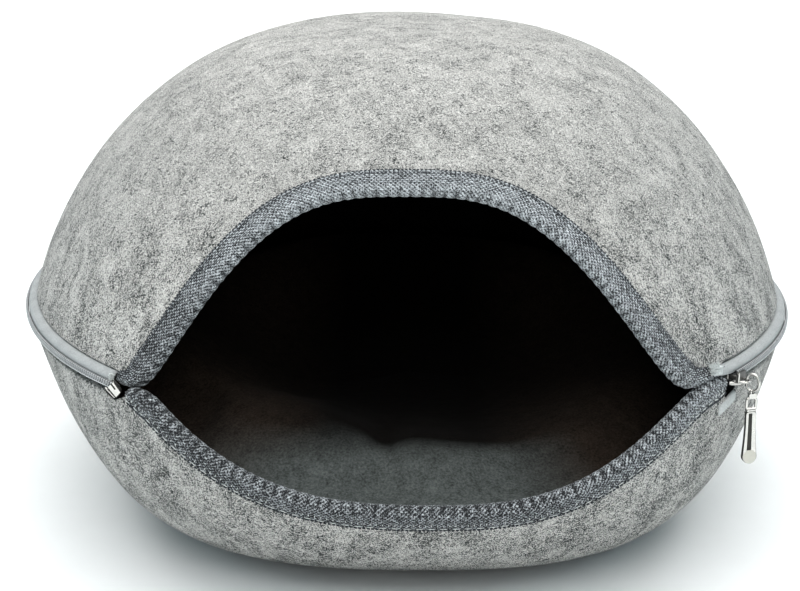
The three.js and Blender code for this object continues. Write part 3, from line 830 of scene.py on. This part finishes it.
def zip_tape(name, section, finish, right, wing=None):
    """A tape's section carried round the zip line, with both ends closed. A wing takes the place
    of the section's end between the zip's two corners, to lie inside the felt."""
    def outline_of(*section_sizes):
        return rounded_section(section(*section_sizes)) / 1000

    degrees = np.linspace(right, 360 + tape_left, tape_columns)
    parted = np.clip((tape_parted_to - degrees) / (tape_parted_to - tape_right), 0, 1)
    spread = 1 + tape_spread * parted
    closed_outline = outline_of(tape_closed_edge)
    parted_outline = outline_of(tape_parted_edge)
    outline = closed_outline + (parted_outline - closed_outline) * parted[:, None, None]
    if wing:
        winged_outline = outline_of(tape_closed_edge, wing)
        past_corners = np.minimum(degrees - wing_right, 360 + wing_left - degrees)
        winged = np.clip(past_corners / wing_growth, 0, 1)
        outline = outline + (winged_outline - closed_outline) * winged[:, None, None]
    angle = np.radians(degrees)[:, None]
    rise = outline[..., 1] * spread[:, None]
    points = settled(plan_point(angle, outline[..., 0], 1.0, zip_height + rise))
    piece = make_piece(name, points, tube_faces(points), finish)
    mark_points(piece, "tape_run", np.repeat(run_along(points[:, 0]), outline.shape[1]))
    return piece


def tape_finish(name, dark, light):
    """Tightly woven tape with fine ribs across it."""
    finish = Finish(name, Roughness=0.75, Specular_IOR_Level=0.25)
    run = finish.marked("tape_run")
    rib = finish.math("SINE", finish.math("MULTIPLY", run, 2 * math.pi / tape_rib))
    place = finish.place()
    fuzz = finish.noise(place, 1800.0, 2.0, 0.6)
    wear = finish.noise(place, 120.0, 2.0)
    value = finish.total(-0.35, (rib, 0.14), (fuzz, 1.3), (wear, 0.4))
    finish.tint(value, dark, light)
    finish.bump(finish.total(0.5, (rib, 0.3), (fuzz, 0.5)), 0.0002, 0.7)
    return finish


tape_weave = tape_finish("tape_weave", shade(122, 126, 127), shade(192, 196, 196))
# Painted shade: the lower tape is the same pale tape as the upper one, painted darker where it turns down
# under the chain into shade.
tape_weave_shaded = tape_finish("tape_weave_shaded", shade(84, 87, 88), shade(140, 144, 145))
# Painted light: the tail is a lighter copy of the same tape, painted with the light it gets lying on the
# bowl.
tape_weave_lit = tape_finish("tape_weave_lit", shade(160, 165, 165), shade(228, 232, 231))

upper_tape = zip_tape("upper_tape", upper_tape_section, tape_weave, tape_right)
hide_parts("zip_tape_upper")

lower_tape = zip_tape("lower_tape", lower_tape_section, tape_weave_shaded, lower_tape_right, lower_tape_wing)
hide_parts("zip_tape_lower")


tail_ends = (48.6, 0.0119), (45.0, 0.0158)
tail_half, tail_level, tail_crown, tail_sunk = 0.0028, 0.0009, 0.0003, -0.0005
tail_section = ((-1, tail_sunk), (-0.92, tail_level), (0, tail_level + tail_crown),
                (0.92, tail_level), (1, tail_sunk))


def tape_tail(name, finish):
    """The lower tape's loose end, laid on the bowl from under the slider down beside the lip."""
    steps = np.linspace(0, 1, 60)
    (first_turn, first_drop), (last_turn, last_drop) = tail_ends
    angle = np.radians(first_turn + (last_turn - first_turn) * steps)
    slope = Bowl.slope_at(first_drop + (last_drop - first_drop) * steps)
    line, out = Bowl.point(angle, slope), face_normals(Bowl, angle, slope)
    side = unit(np.cross(out, np.gradient(line, axis=0)))
    rows = [settled(line + side * tail_half * share + out * lift) for share, lift in tail_section]
    points = np.stack(rows, 1)
    faces = net_faces(len(steps), len(rows)).tolist()
    faces += [list(range(len(rows))), list(range(len(rows) * (len(steps) - 1), len(rows) * len(steps)))]
    piece = make_piece(name, points, faces, finish)
    mark_points(piece, "tape_run", np.repeat(np.linalg.norm(line - line[0], axis=1), len(rows)))
    return piece


lower_tail = tape_tail("lower_tape_tail", tape_weave_lit)


def frayed_end(name, degrees, direction, count, reach, levels, lifted, seed):
    """Loose threads that stand out of a tape's cut end, along the zip."""
    chance = np.random.default_rng(seed)
    nets = []
    for _ in range(count):
        inset, z = chance.uniform(*fray_insets), chance.uniform(*levels)
        length = reach * chance.uniform(0.25, 1.0)
        bend, lift = chance.normal(0, 0.0007), chance.normal(lifted, 0.0010)
        steps = np.linspace(-0.15, 1, 5)
        turn = math.radians(degrees) + direction * steps * length / (width / 2)
        along = np.clip(steps, 0, 1) ** 2
        sunk = np.maximum(inset + bend * along, fray_least_inset)
        line = plan_point(turn, sunk, 1.0, zip_height + z + lift * along)
        nets.append(rod_net(settled(line), np.array([1, 1, 1, 0.8, 0.3]) * fray_radius, sides=5))
    piece = make_piece(name, *joined(nets), pale_thread)


frayed_end("frayed_end_right", tape_right, direction=-1, count=190, reach=0.0085,
           levels=(0.0030, 0.0066), lifted=0.0022, seed=5)
frayed_end("frayed_end_left", tape_left, direction=1, count=45, reach=0.0022,
           levels=(0.0014, 0.0042), lifted=0.0, seed=8)


# Cushion
# One loose filled cushion of short plush that lines the bowl, with a puffed rim that is
# higher on the left, a lower middle and a crease at the front where the filling parts.
cushion_gap = 0.0013
seat = 0.046
wall_rows, base_rows, top_rows = 22, 10, 64
cloth_mesh, cloth_steps = 0.005, 20
crease_at, crease_reach, crease_depth = -0.09, 0.075, 0.006


def toward(angle, middle, reach):
    """1 at one angle round the plan, falling smoothly to 0 on both sides of it."""
    apart = (angle - middle + math.pi) % (2 * math.pi) - math.pi
    return np.exp(-(apart / reach) ** 2)


def cushion_seam(angle):
    return 0.050 - 0.012 * np.cos(angle) - 0.002 * np.sin(angle)


def cushion_crest(angle):
    lobes = 0.007 * toward(angle, -0.55, 0.3) + 0.014 * toward(angle, -1.25, 0.35)
    lobes = lobes + 0.004 * toward(angle, 1.0, 0.3) - 0.005 * toward(angle, 0.42, 0.3)
    return 0.070 - 0.011 * np.cos(angle) + 0.0006 * np.cos(5 * angle + 0.6) + lobes


def crest_share(angle):
    """How far out from the middle the rim is highest."""
    return 0.74 - 0.10 * toward(angle, -0.62, 0.35)


def cushion_wall(angle, slope):
    return Bowl.point(angle, slope) - (felt + cushion_gap) * face_normals(Bowl, angle, slope)


def cushion_brim(angle):
    return cushion_wall(angle, Bowl.slope_at(zip_height - cushion_seam(angle)))


def cushion_rows(angle):
    """Rows of points from the middle of the base, up the bowl's inside and over the top."""
    seam_slope = Bowl.slope_at(zip_height - cushion_seam(angle))
    wall = [cushion_wall(angle, seam_slope + (math.pi / 2 - seam_slope) * (1 - step))
            for step in np.linspace(0, 1, wall_rows)]
    base = [wall[0] * (share, share, 1) for share in np.linspace(0, 1, base_rows)[1:-1]]
    brim = wall[-1]
    seam, crest, rim_at = brim[:, 2], cushion_crest(angle), crest_share(angle)
    top = []
    for share in np.linspace(1, 0, top_rows + 1)[1:-1]:
        out = np.clip((share - rim_at) / (1 - rim_at), 0, 1)
        outer = seam + (crest - seam) * (1 - out ** 2.2) ** 0.5
        climb = np.minimum(share / rim_at, 1) ** 2.6
        inner = seat + (crest - seat) * (0.5 - 0.5 * np.cos(math.pi * climb))
        z = np.where(share > rim_at, outer, inner)
        top.append(np.stack([brim[:, 0] * share, brim[:, 1] * share, z], -1))
    return base + wall + top


cushion_angles = np.linspace(0, 2 * math.pi, 240, endpoint=False)
cushion_net = cushion_rows(cushion_angles)
cushion_faces = capped_faces(len(cushion_net), len(cushion_angles))
cushion_net = np.concatenate(cushion_net + [[[0, 0, felt + cushion_gap], [0, 0, seat]]])

plush = Finish("short_plush", Roughness=0.95, Specular_IOR_Level=0.03, Sheen_Weight=0.02,
               Sheen_Roughness=0.5)
plush_place = plush.place()
plush_clumps = plush.noise(plush_place, 160.0, 3.0, 0.6)
plush_pile = plush.noise(plush_place, 900.0, 3.0, 0.7)
plush_tone = plush.total(-0.80, (plush_clumps, 0.8), (plush_pile, 1.8))
# Painted light and shade: lit, shaded and deeply shaded copies of one plush colour.
plush_lit_front = plush.colours(plush_tone, shade(44, 47, 46), shade(110, 116, 114))
plush_side_shade = plush.colours(plush_tone, shade(30, 25, 21), shade(82, 71, 62))
plush_deep_shade = plush.colours(plush_tone, shade(6, 5, 4), shade(22, 19, 16))


def plush_blend(label, bare, full):
    """Two colours mixed by a number that the cushion's points carry."""
    return plush.add("Mix", {0: plush.marked(label), 6: bare, 7: full}, data_type="RGBA").outputs[2]


plush_back_shade = plush_blend("side_shade_share", plush_deep_shade, plush_side_shade)
plush.set("Base Color", plush_blend("lit_front_share", plush_back_shade, plush_lit_front))
plush.bump(plush.total(0.0, (plush_clumps, 0.5), (plush_pile, 0.5)), 0.0012, 0.8)

cushion = make_piece("plush_cushion", settled(cushion_net), cushion_faces, plush)


def settle_modifiers(piece):
    """Makes what a piece's modifiers show into its own mesh."""
    ready = piece.evaluated_get(bpy.context.evaluated_depsgraph_get())
    piece.data = bpy.data.meshes.new_from_object(ready)
    piece.modifiers.clear()


def mesh_points(mesh):
    flat = np.empty(len(mesh.vertices) * 3)
    mesh.vertices.foreach_get("co", flat)
    return flat.reshape(-1, 3)


def plan_turn(points):
    return np.arctan2(points[:, 0] / width, -points[:, 1] / depth)


def plan_reach(points):
    return np.hypot(points[:, 0], points[:, 1])


def ramp(values, start, reach):
    """0 up to a start, then rising to 1 over a reach."""
    return np.clip((values - start) / reach, 0, 1)


def plumped(piece, pressure, furthest):
    """Swells a padded piece by a cloth simulation on an even mesh, with its wall held still."""
    even = piece.modifiers.new("even_mesh", "REMESH")
    even.mode = "VOXEL"
    even.voxel_size = cloth_mesh
    settle_modifiers(piece)
    start = mesh_points(piece.data)
    filling = piece.modifiers.new("filling", "CLOTH")
    filling.settings.use_pressure = True
    filling.settings.uniform_pressure_force = pressure
    filling.settings.effector_weights.gravity = 0.0
    for step in range(1, cloth_steps + 1):
        bpy.context.scene.frame_set(step)
    ready = piece.evaluated_get(bpy.context.evaluated_depsgraph_get())
    moved = mesh_points(ready.data) - start
    bpy.context.scene.frame_set(1)
    piece.modifiers.clear()
    far = np.linalg.norm(moved, axis=1, keepdims=True)
    moved *= np.minimum(1, furthest / np.maximum(far, 1e-9))
    brim = cushion_brim(plan_turn(start))
    inside = ramp(1 - plan_reach(start) / plan_reach(brim), 0.0, 0.08)
    moved *= (inside * ramp(start[:, 2] - brim[:, 2], -0.004, 0.012))[:, None]
    piece.data.vertices.foreach_set("co", (start + moved).ravel())
    smooth = piece.modifiers.new("smooth", "SUBSURF")
    smooth.levels = smooth.render_levels = 1
    settle_modifiers(piece)
    piece.data.polygons.foreach_set("use_smooth", [True] * len(piece.data.polygons))


plumped(cushion, pressure=4.0, furthest=0.006)

cushion_points = mesh_points(cushion.data)
cushion_angle = plan_turn(cushion_points)
cushion_edge = cushion_brim(cushion_angle)
cushion_share = plan_reach(cushion_points) / plan_reach(cushion_edge)
creased = toward(cushion_angle, crease_at, crease_reach) * toward(cushion_share, 0.74, 0.2)
creased *= ramp(cushion_points[:, 2] - cushion_edge[:, 2], 0.0, 0.012)
cushion_points[:, 2] -= crease_depth * creased
cushion.data.vertices.foreach_set("co", cushion_points.ravel())
# Painted light and shade: the pile is painted grey where light reaches it in front of the rim's crest, a
# shaded brown towards both sides and nearly black behind, in the dome's shadow.
lit_front_share = np.clip((cushion_share - crest_share(cushion_angle)) / 0.06 + 0.55, 0, 1)
lit_front_share *= ramp(cushion_angle, -0.80, 0.42) * ramp(-cushion_angle, -0.64, 0.3)
lit_front_share *= ramp(-cushion_points[:, 2], -0.071, 0.012)
side_shade_share = ramp(np.abs(cushion_points[:, 0]), 0.035, 0.045)
side_shade_share *= np.where(cushion_points[:, 0] > 0, 0.75, 1.0)
mark_points(cushion, "lit_front_share", lit_front_share)
mark_points(cushion, "side_shade_share", side_shade_share)
cushion.data.update()
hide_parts("cushion")


# Zip chain
# A closed nylon coil carried by the two tapes: two rows of small loops that lock along
# the middle line.
chain_right, stop_angle = 47.8, -40.1
coil_pitch, coil_depth = 0.0017, 0.0006
chain_back, coil_foot = 0.0011, -0.0010

chain_outline = rounded_section([(1.2, -1.5), (0.3, -1.5), (-0.1, -1.0), (0.15, 0.0), (-0.1, 1.0),
                                 (0.3, 1.5), (1.2, 1.5)], 1) / 1000
chain_count = 4200
chain_angle = np.radians(np.linspace(chain_right, 360 + stop_angle, chain_count))
chain_line = settled(plan_point(chain_angle, 0.0, 1.0, zip_height))
coil_phase = np.where(chain_outline[:, 1] > 0, 0.0, 0.5)
coil_round = np.abs(np.sin(math.pi * (run_along(chain_line)[:, None] / coil_pitch + coil_phase)))
coil_sink = coil_depth * (1 - coil_round) * (chain_outline[:, 0] < chain_back)
chain_points = settled(plan_point(chain_angle[:, None], chain_outline[:, 0] + coil_sink, 1.0,
                                  zip_height + chain_outline[:, 1]))
chain_faces = net_faces(chain_count, len(chain_outline)).tolist()

coil_nylon = Finish("coil_nylon", Roughness=0.45)
coil_wear = coil_nylon.noise(coil_nylon.place(), 600.0, 2.0)
coil_tone = coil_nylon.total(-0.25, (coil_nylon.marked("coil_painted_light"), 1.0), (coil_wear, 0.4))
coil_nylon.tint(coil_tone, shade(52, 54, 56), shade(226, 230, 231))
coil_nylon.bump(coil_wear, 0.0001, 0.3)

chain = make_piece("coil_chain", chain_points, chain_faces, coil_nylon)
# Painted light and shade: the coil's foot is painted bright where it catches light, the row above it
# darker in the tape's shade, and each loop lighter on its crown.
at_foot = chain_outline[:, 1] < coil_foot
mark_points(chain, "coil_painted_light", np.where(at_foot, 0.75 + 0.25 * coil_round, 0.65 * coil_round ** 2))
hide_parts("zip_chain")


# Zip stop
# A small cast box clamped on the left end of the chain and turned down towards the mouth,
# with a slot in its face and two ribs beside it. Bright nickel over zinc.
sharp_angle = math.radians(40)
bar_sides = 14
lit_side = (0.0, -0.85, 0.52)


class Metalwork:
    """Closed metal solids gathered into one mesh, in mm: along the zip, up, and out from it."""

    def __init__(self):
        self.nets, self.marks = [], []

    def block(self, outline, low, high, shift=(0.0, 0.0), mark=0):
        """An outline of along and up, from one level out to another."""
        placed = [(shift[0] + along, shift[1] + up) for along, up in outline]
        count = len(placed)
        points = [(along, up, level) for level in (low, high) for along, up in placed]
        faces = [list(range(count)), list(range(count, 2 * count))]
        for corner in range(count):
            following = (corner + 1) % count
            faces.append([corner, following, count + following, count + corner])
        self.nets.append((points, faces))
        self.marks += [mark] * len(faces)

    def rod(self, path, radii, closed=False):
        self.nets.append(rod_net(path, radii, closed, bar_sides))
        self.marks += [0] * len(self.nets[-1][1])

    def mesh_at(self, place):
        points, faces = joined(self.nets)
        world = [place @ (Vector((along, -out, up)) / 1000) for along, up, out in points]
        return [tuple(point) for point in world], faces

    def piece(self, name, place, bevel, *finishes):
        made = make_piece(name, *self.mesh_at(place), *finishes)
        made.data.polygons.foreach_set("material_index", self.marks)
        made.data.set_sharp_from_angle(angle=sharp_angle)
        rounding = made.modifiers.new("soft_edges", "BEVEL")
        rounding.width = bevel / 1000
        rounding.segments = 2
        rounding.limit_method = "ANGLE"
        rounding.angle_limit = sharp_angle
        return made


def zip_place(degrees):
    """Place on the zip line: X along it, -Y out of it, Z up."""
    angle = math.radians(degrees)
    turn = math.atan2(depth / 2 * math.sin(angle), width / 2 * math.cos(angle))
    spot = Vector(settled(plan_point(angle, 0.0, 1.0, zip_height)))
    return Matrix.Translation(spot) @ Matrix.Rotation(turn, 4, "Z")


def turned(degrees, axis="Z"):
    return Matrix.Rotation(math.radians(degrees), 4, axis)


def oblong(half_along, half_up, corner):
    """A rectangle with its corners cut off."""
    along, up = half_along, half_up
    return [(-along, -up + corner), (-along + corner, -up), (along - corner, -up), (along, -up + corner),
            (along, up - corner), (along - corner, up), (-along + corner, up), (-along, up - corner)]


def nickel_finish(name, dark, light, smooth, rough):
    finish = Finish(name, Metallic=0.75)
    wear = finish.noise(finish.place(), 420.0, 2.0, 0.5)
    # Painted reflection: the nickel is painted lighter on faces turned towards the lit side and darker on
    # faces turned away.
    lit_facing = {0: finish.add("NewGeometry").outputs["Normal"], 1: lit_side}
    lit_facing = finish.add("VectorMath", lit_facing, operation="DOT_PRODUCT").outputs["Value"]
    tone = finish.total(-0.25, (wear, 0.5), (finish.span(lit_facing, 0.1, 0.85), 1.0))
    finish.tint(tone, dark, light)
    finish.set("Roughness", finish.span(wear, 0.3, 0.7, smooth, rough))
    finish.bump(wear, 0.00003, 0.15)
    return finish


bright_nickel = nickel_finish("bright_nickel", shade(50, 49, 46), shade(212, 211, 206), 0.20, 0.28)

stop_work = Metalwork()
stop_work.block([(0.86, 2.35), (4.0, -2.45), (1.86, -4.95), (-1.71, -0.15)], -2.4, 0.9)
stop_ribs = np.array([[(-2.45, -0.55, -0.8), (1.35, -5.35, -0.8)],
                      [(-3.15, -0.95, -0.8), (0.95, -5.75, -0.8)]])
for rib_top, rib_foot in stop_ribs:
    rib_path = [rib_top + (rib_foot - rib_top) * share for share in (0.0, 0.06, 0.94, 1.0)]
    stop_work.rod(rib_path, [0.2, 0.42, 0.42, 0.2])
slot_work = Metalwork()
slot_work.block([(0.0, 2.1), (-0.7, 1.65), (1.32, -1.4), (2.02, -0.95)], -0.4, 1.6)
stop_place = zip_place(stop_angle) @ turned(40)
stop_piece = stop_work.piece("stop_box", stop_place, 0.18, bright_nickel)


def cut_out(piece, work, place):
    """Takes the shape of some metalwork out of a piece."""
    cutter = bpy.data.objects.new("cutter", outward_mesh("cutter", *work.mesh_at(place)))
    bpy.context.scene.collection.objects.link(cutter)
    cut = piece.modifiers.new("cut", "BOOLEAN")
    cut.operation = "DIFFERENCE"
    cut.solver = "EXACT"
    cut.object = cutter
    settle_modifiers(piece)
    bpy.data.objects.remove(cutter)


cut_out(stop_piece, slot_work, stop_place)
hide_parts("zip_stop")


# Zip slider
# A cast slider at the right end of the zip: two plates on a post that run on the chain, a
# nose towards the mouth and a strap bridge on the front plate. Bright nickel, with the front plate and the
# post painted dark as shade.
slider_angle = 48.1
slider_drop = Matrix.Translation((0.0, 0.0, -0.0010))
slider_place = slider_drop @ zip_place(slider_angle)

slider_work = Metalwork()
plate_half = [(-3.6, 1.9), (-2.9, 2.6), (-1.2, 2.6), (3.4, 2.3), (4.4, 1.5)]
plate = plate_half + [(along, -up) for along, up in plate_half[::-1]]
slider_work.block(plate, 0.45, 1.5, mark=1)
slider_work.block(oblong(4.0, 1.8, 0.6), -4.3, -3.3)
slider_work.block(oblong(0.8, 1.1, 0.3), -3.5, 0.8, shift=(-3.0, 0.0), mark=1)
slider_work.rod([(-3.0, up, 1.55) for up in (-2.5, -2.3, 2.1, 2.3)], [0.2, 0.5, 0.5, 0.2])
bridge_path = [(-2.9, 1.2), (-2.75, 2.9), (-2.3, 4.5), (-1.4, 5.4), (-0.35, 5.7),
               (0.7, 5.4), (1.6, 4.5), (2.05, 2.9), (2.2, 1.2)]
slider_work.rod([(along, -1.6, out) for along, out in bridge_path], 0.6)
nose_line = np.linspace((-3.4, -3.2, -3.1), (1.0, -3.2, 2.3), 6)
slider_work.rod(nose_line, [0.9, 1.3, 1.35, 1.35, 1.3, 0.8])
# Painted shade: a dark copy of the nickel for the slider's front plate and post and the pull's sides,
# where the metal shows shade and dark reflections.
shaded_nickel = nickel_finish("shaded_nickel", shade(22, 22, 21), shade(84, 84, 81), 0.3, 0.45)
slider_piece = slider_work.piece("slider", slider_place, 0.22, bright_nickel, shaded_nickel)
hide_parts("zip_slider")


# Zip ring
# A bent wire ring, flat on the side that lies in the slider's bridge. Bright nickel.
ring_along, ring_up, ring_out = -0.35, -1.6, 7.2
ring_half_out, ring_half_up, ring_wire = 3.1, 3.95, 0.7
ring_flatness = 0.7


def squared(share, power):
    """A share from -1 to 1 pushed out to its ends by a power below 1."""
    return math.copysign(abs(share) ** power, share)


ring_path = []
for turn in np.linspace(0, 2 * math.pi, 56, endpoint=False):
    outward = math.cos(turn)
    out = ring_out + ring_half_out * squared(outward, 1.0 if outward > 0 else ring_flatness)
    ring_path.append((ring_along, ring_up + ring_half_up * math.sin(turn), out))
ring_work = Metalwork()
ring_work.rod(ring_path, ring_wire, closed=True)
ring_piece = make_piece("wire_ring", *ring_work.mesh_at(slider_place), bright_nickel)
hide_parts("zip_ring")


# Zip link
# A swivel eye on the ring, with a small block under it and an open frame that carries the
# pull on its lower bar. Cast, with a bright nickel finish.
hang = slider_place @ Vector((ring_along / 1000, -ring_out / 1000, (ring_up - ring_half_up) / 1000))
hang_at = Matrix.Translation(hang)
link_place = hang_at @ turned(10)

link_work = Metalwork()
link_work.block(oblong(1.75, 1.15, 0.35), -1.1, 1.1, shift=(0.1, -2.15))
frame_half, frame_top, frame_bottom, frame_bar, frame_corner = 2.2, -3.3, -8.8, 0.72, 0.45
frame_middle, frame_reach = (frame_top + frame_bottom) / 2, (frame_top - frame_bottom) / 2
frame_path = []
for turn in np.linspace(0, 2 * math.pi, 48, endpoint=False):
    frame_path.append((frame_half * squared(math.cos(turn), frame_corner),
                       frame_middle + frame_reach * squared(math.sin(turn), frame_corner), 0.0))
link_work.rod(frame_path, frame_bar, closed=True)
eye_radius, eye_up, eye_bar = 1.15, -0.35, 0.4
eye_path = [(eye_radius * math.cos(turn), eye_up + eye_radius * math.sin(turn), 0)
            for turn in np.linspace(0, 2 * math.pi, 24, endpoint=False)]
eye_work = Metalwork()
eye_work.rod(eye_path, eye_bar, closed=True)
link_nets = [link_work.mesh_at(link_place), eye_work.mesh_at(hang_at @ turned(52))]
link_piece = make_piece("swivel_link", *joined(link_nets), bright_nickel)
link_piece.data.set_sharp_from_angle(angle=sharp_angle)
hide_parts("zip_link")


# Zip pull
# A long flared bar with a dark lengthwise groove and a plain matte disc at its end, on a
# knuckle round the link's lower bar. Cast, with a bright nickel finish and its sides painted dark as
# shade.
pull_top, pull_length = -9.6, 25.2
pull_half, pull_disc = 2.5, 3.45
pull_thick, groove_depth = 1.15, 0.8
groove_half, groove_from, groove_aside = 0.78, 0.9, 0.45
flare_from, disc_rim = 6.0, 0.15
disc_middle = pull_length - pull_disc
edge_from, edge_drop, side_from = 0.86, 0.4, 0.9
plain_mark, groove_mark, disc_mark, shaded_side_mark = range(4)
pull_pin = Matrix.Translation((0.0, 0.0, pull_top / 1000))
pull_place = hang_at @ turned(9) @ pull_pin @ turned(-1.9, "Y") @ pull_pin.inverted()


def pull_edge(down):
    """Half width of the pull at a distance below its top, in mm."""
    if down > disc_middle:
        return math.sqrt(max(pull_disc ** 2 - (down - disc_middle) ** 2, 0))
    flare = ramp(down, flare_from, disc_middle - flare_from)
    top = 1 - max(0.7 - down, 0) ** 2
    return (pull_half + (pull_disc - pull_half) * flare ** 1.6) * top


pull_downs = np.concatenate([np.linspace(0, disc_middle, 70)[:-1],
                             disc_middle + pull_disc * np.sin(np.linspace(0, math.pi / 2, 22))])
strip_shares = np.array([0.0, 0.05, 0.12, 0.25, 0.5, 0.75, 0.97])
groove_shares = np.array([-0.97, -0.8, -0.5, 0.0, 0.5, 0.8, 0.97])
pull_net, pull_marks, edge_shares = [], [], []
for face_out in (1, -1):
    for down in pull_downs:
        half = pull_edge(down)
        groove_edge = min(groove_half * (1 + 0.4 * down / pull_length), half * 0.6)
        groove_middle = -min(groove_aside, half * 0.2)
        left_strip = (half + groove_middle - groove_edge) * strip_shares - half
        right_strip = half - (half - groove_middle - groove_edge) * strip_shares
        groove = groove_middle + groove_edge * groove_shares
        for across in np.concatenate([left_strip, groove, right_strip[::-1]]):
            from_disc = math.hypot(across, down - disc_middle)
            in_groove = face_out > 0 and abs(across - groove_middle) < groove_edge * 0.99
            in_groove = in_groove and down > groove_from and from_disc > pull_disc
            edge_share = abs(across) / max(half, 1e-6)
            out = pull_thick - edge_drop * (max(0.0, edge_share - edge_from) / (1 - edge_from)) ** 2
            if in_groove:
                out -= groove_depth * math.sqrt(1 - 0.7 * ((across - groove_middle) / groove_edge) ** 2)
            pull_net.append((across, pull_top - down, face_out * out))
            edge_shares.append(edge_share if half > 0.1 else None)
            if from_disc < pull_disc - disc_rim:
                pull_marks.append(disc_mark)
            else:
                pull_marks.append(groove_mark if in_groove else plain_mark)
columns_count, rows_count = 2 * len(strip_shares) + len(groove_shares), len(pull_downs)
half_count = columns_count * rows_count
pull_faces = net_faces(rows_count, columns_count, close_columns=False).tolist()
pull_faces += net_faces(rows_count, columns_count, close_columns=False, start=half_count).tolist()
for row in range(rows_count - 1):
    for column in (0, columns_count - 1):
        here, below = row * columns_count + column, (row + 1) * columns_count + column
        pull_faces.append([here, below, half_count + below, half_count + here])
for column in range(columns_count - 1):
    for row in (0, rows_count - 1):
        here = row * columns_count + column
        pull_faces.append([here, here + 1, half_count + here + 1, half_count + here])
pull_work = Metalwork()
pull_work.nets.append((pull_net, pull_faces))
knuckle = [(across, pull_top + 0.8, 0.0) for across in (-2.3, -2.1, 2.1, 2.3)]
pull_work.rod(knuckle, [1.0, 1.3, 1.3, 1.0])

# The groove's nickel is darker, partly the groove's own darker finish and partly painted shade in its
# recess.
groove_nickel = nickel_finish("groove_nickel", shade(30, 30, 28), shade(62, 62, 59), 0.4, 0.55)
disc_nickel = nickel_finish("disc_nickel", shade(120, 119, 113), shade(204, 203, 194), 0.5, 0.65)
pull_piece = make_piece("long_pull", *pull_work.mesh_at(pull_place),
                        bright_nickel, groove_nickel, disc_nickel, shaded_nickel)
for polygon in pull_piece.data.polygons:
    marks = [pull_marks[corner] if corner < len(pull_marks) else plain_mark for corner in polygon.vertices]
    polygon.material_index = max(set(marks), key=marks.count)
    # Faces along the sides and edges take the dark nickel, as painted shade.
    joins_faces = {corner // half_count for corner in polygon.vertices} == {0, 1}
    shares = [edge_shares[corner] for corner in polygon.vertices
              if corner < half_count and edge_shares[corner] is not None]
    if joins_faces or (shares and min(shares) > side_from):
        polygon.material_index = shaded_side_mark
pull_piece.data.set_sharp_from_angle(angle=math.radians(45))
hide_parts("zip_pull")
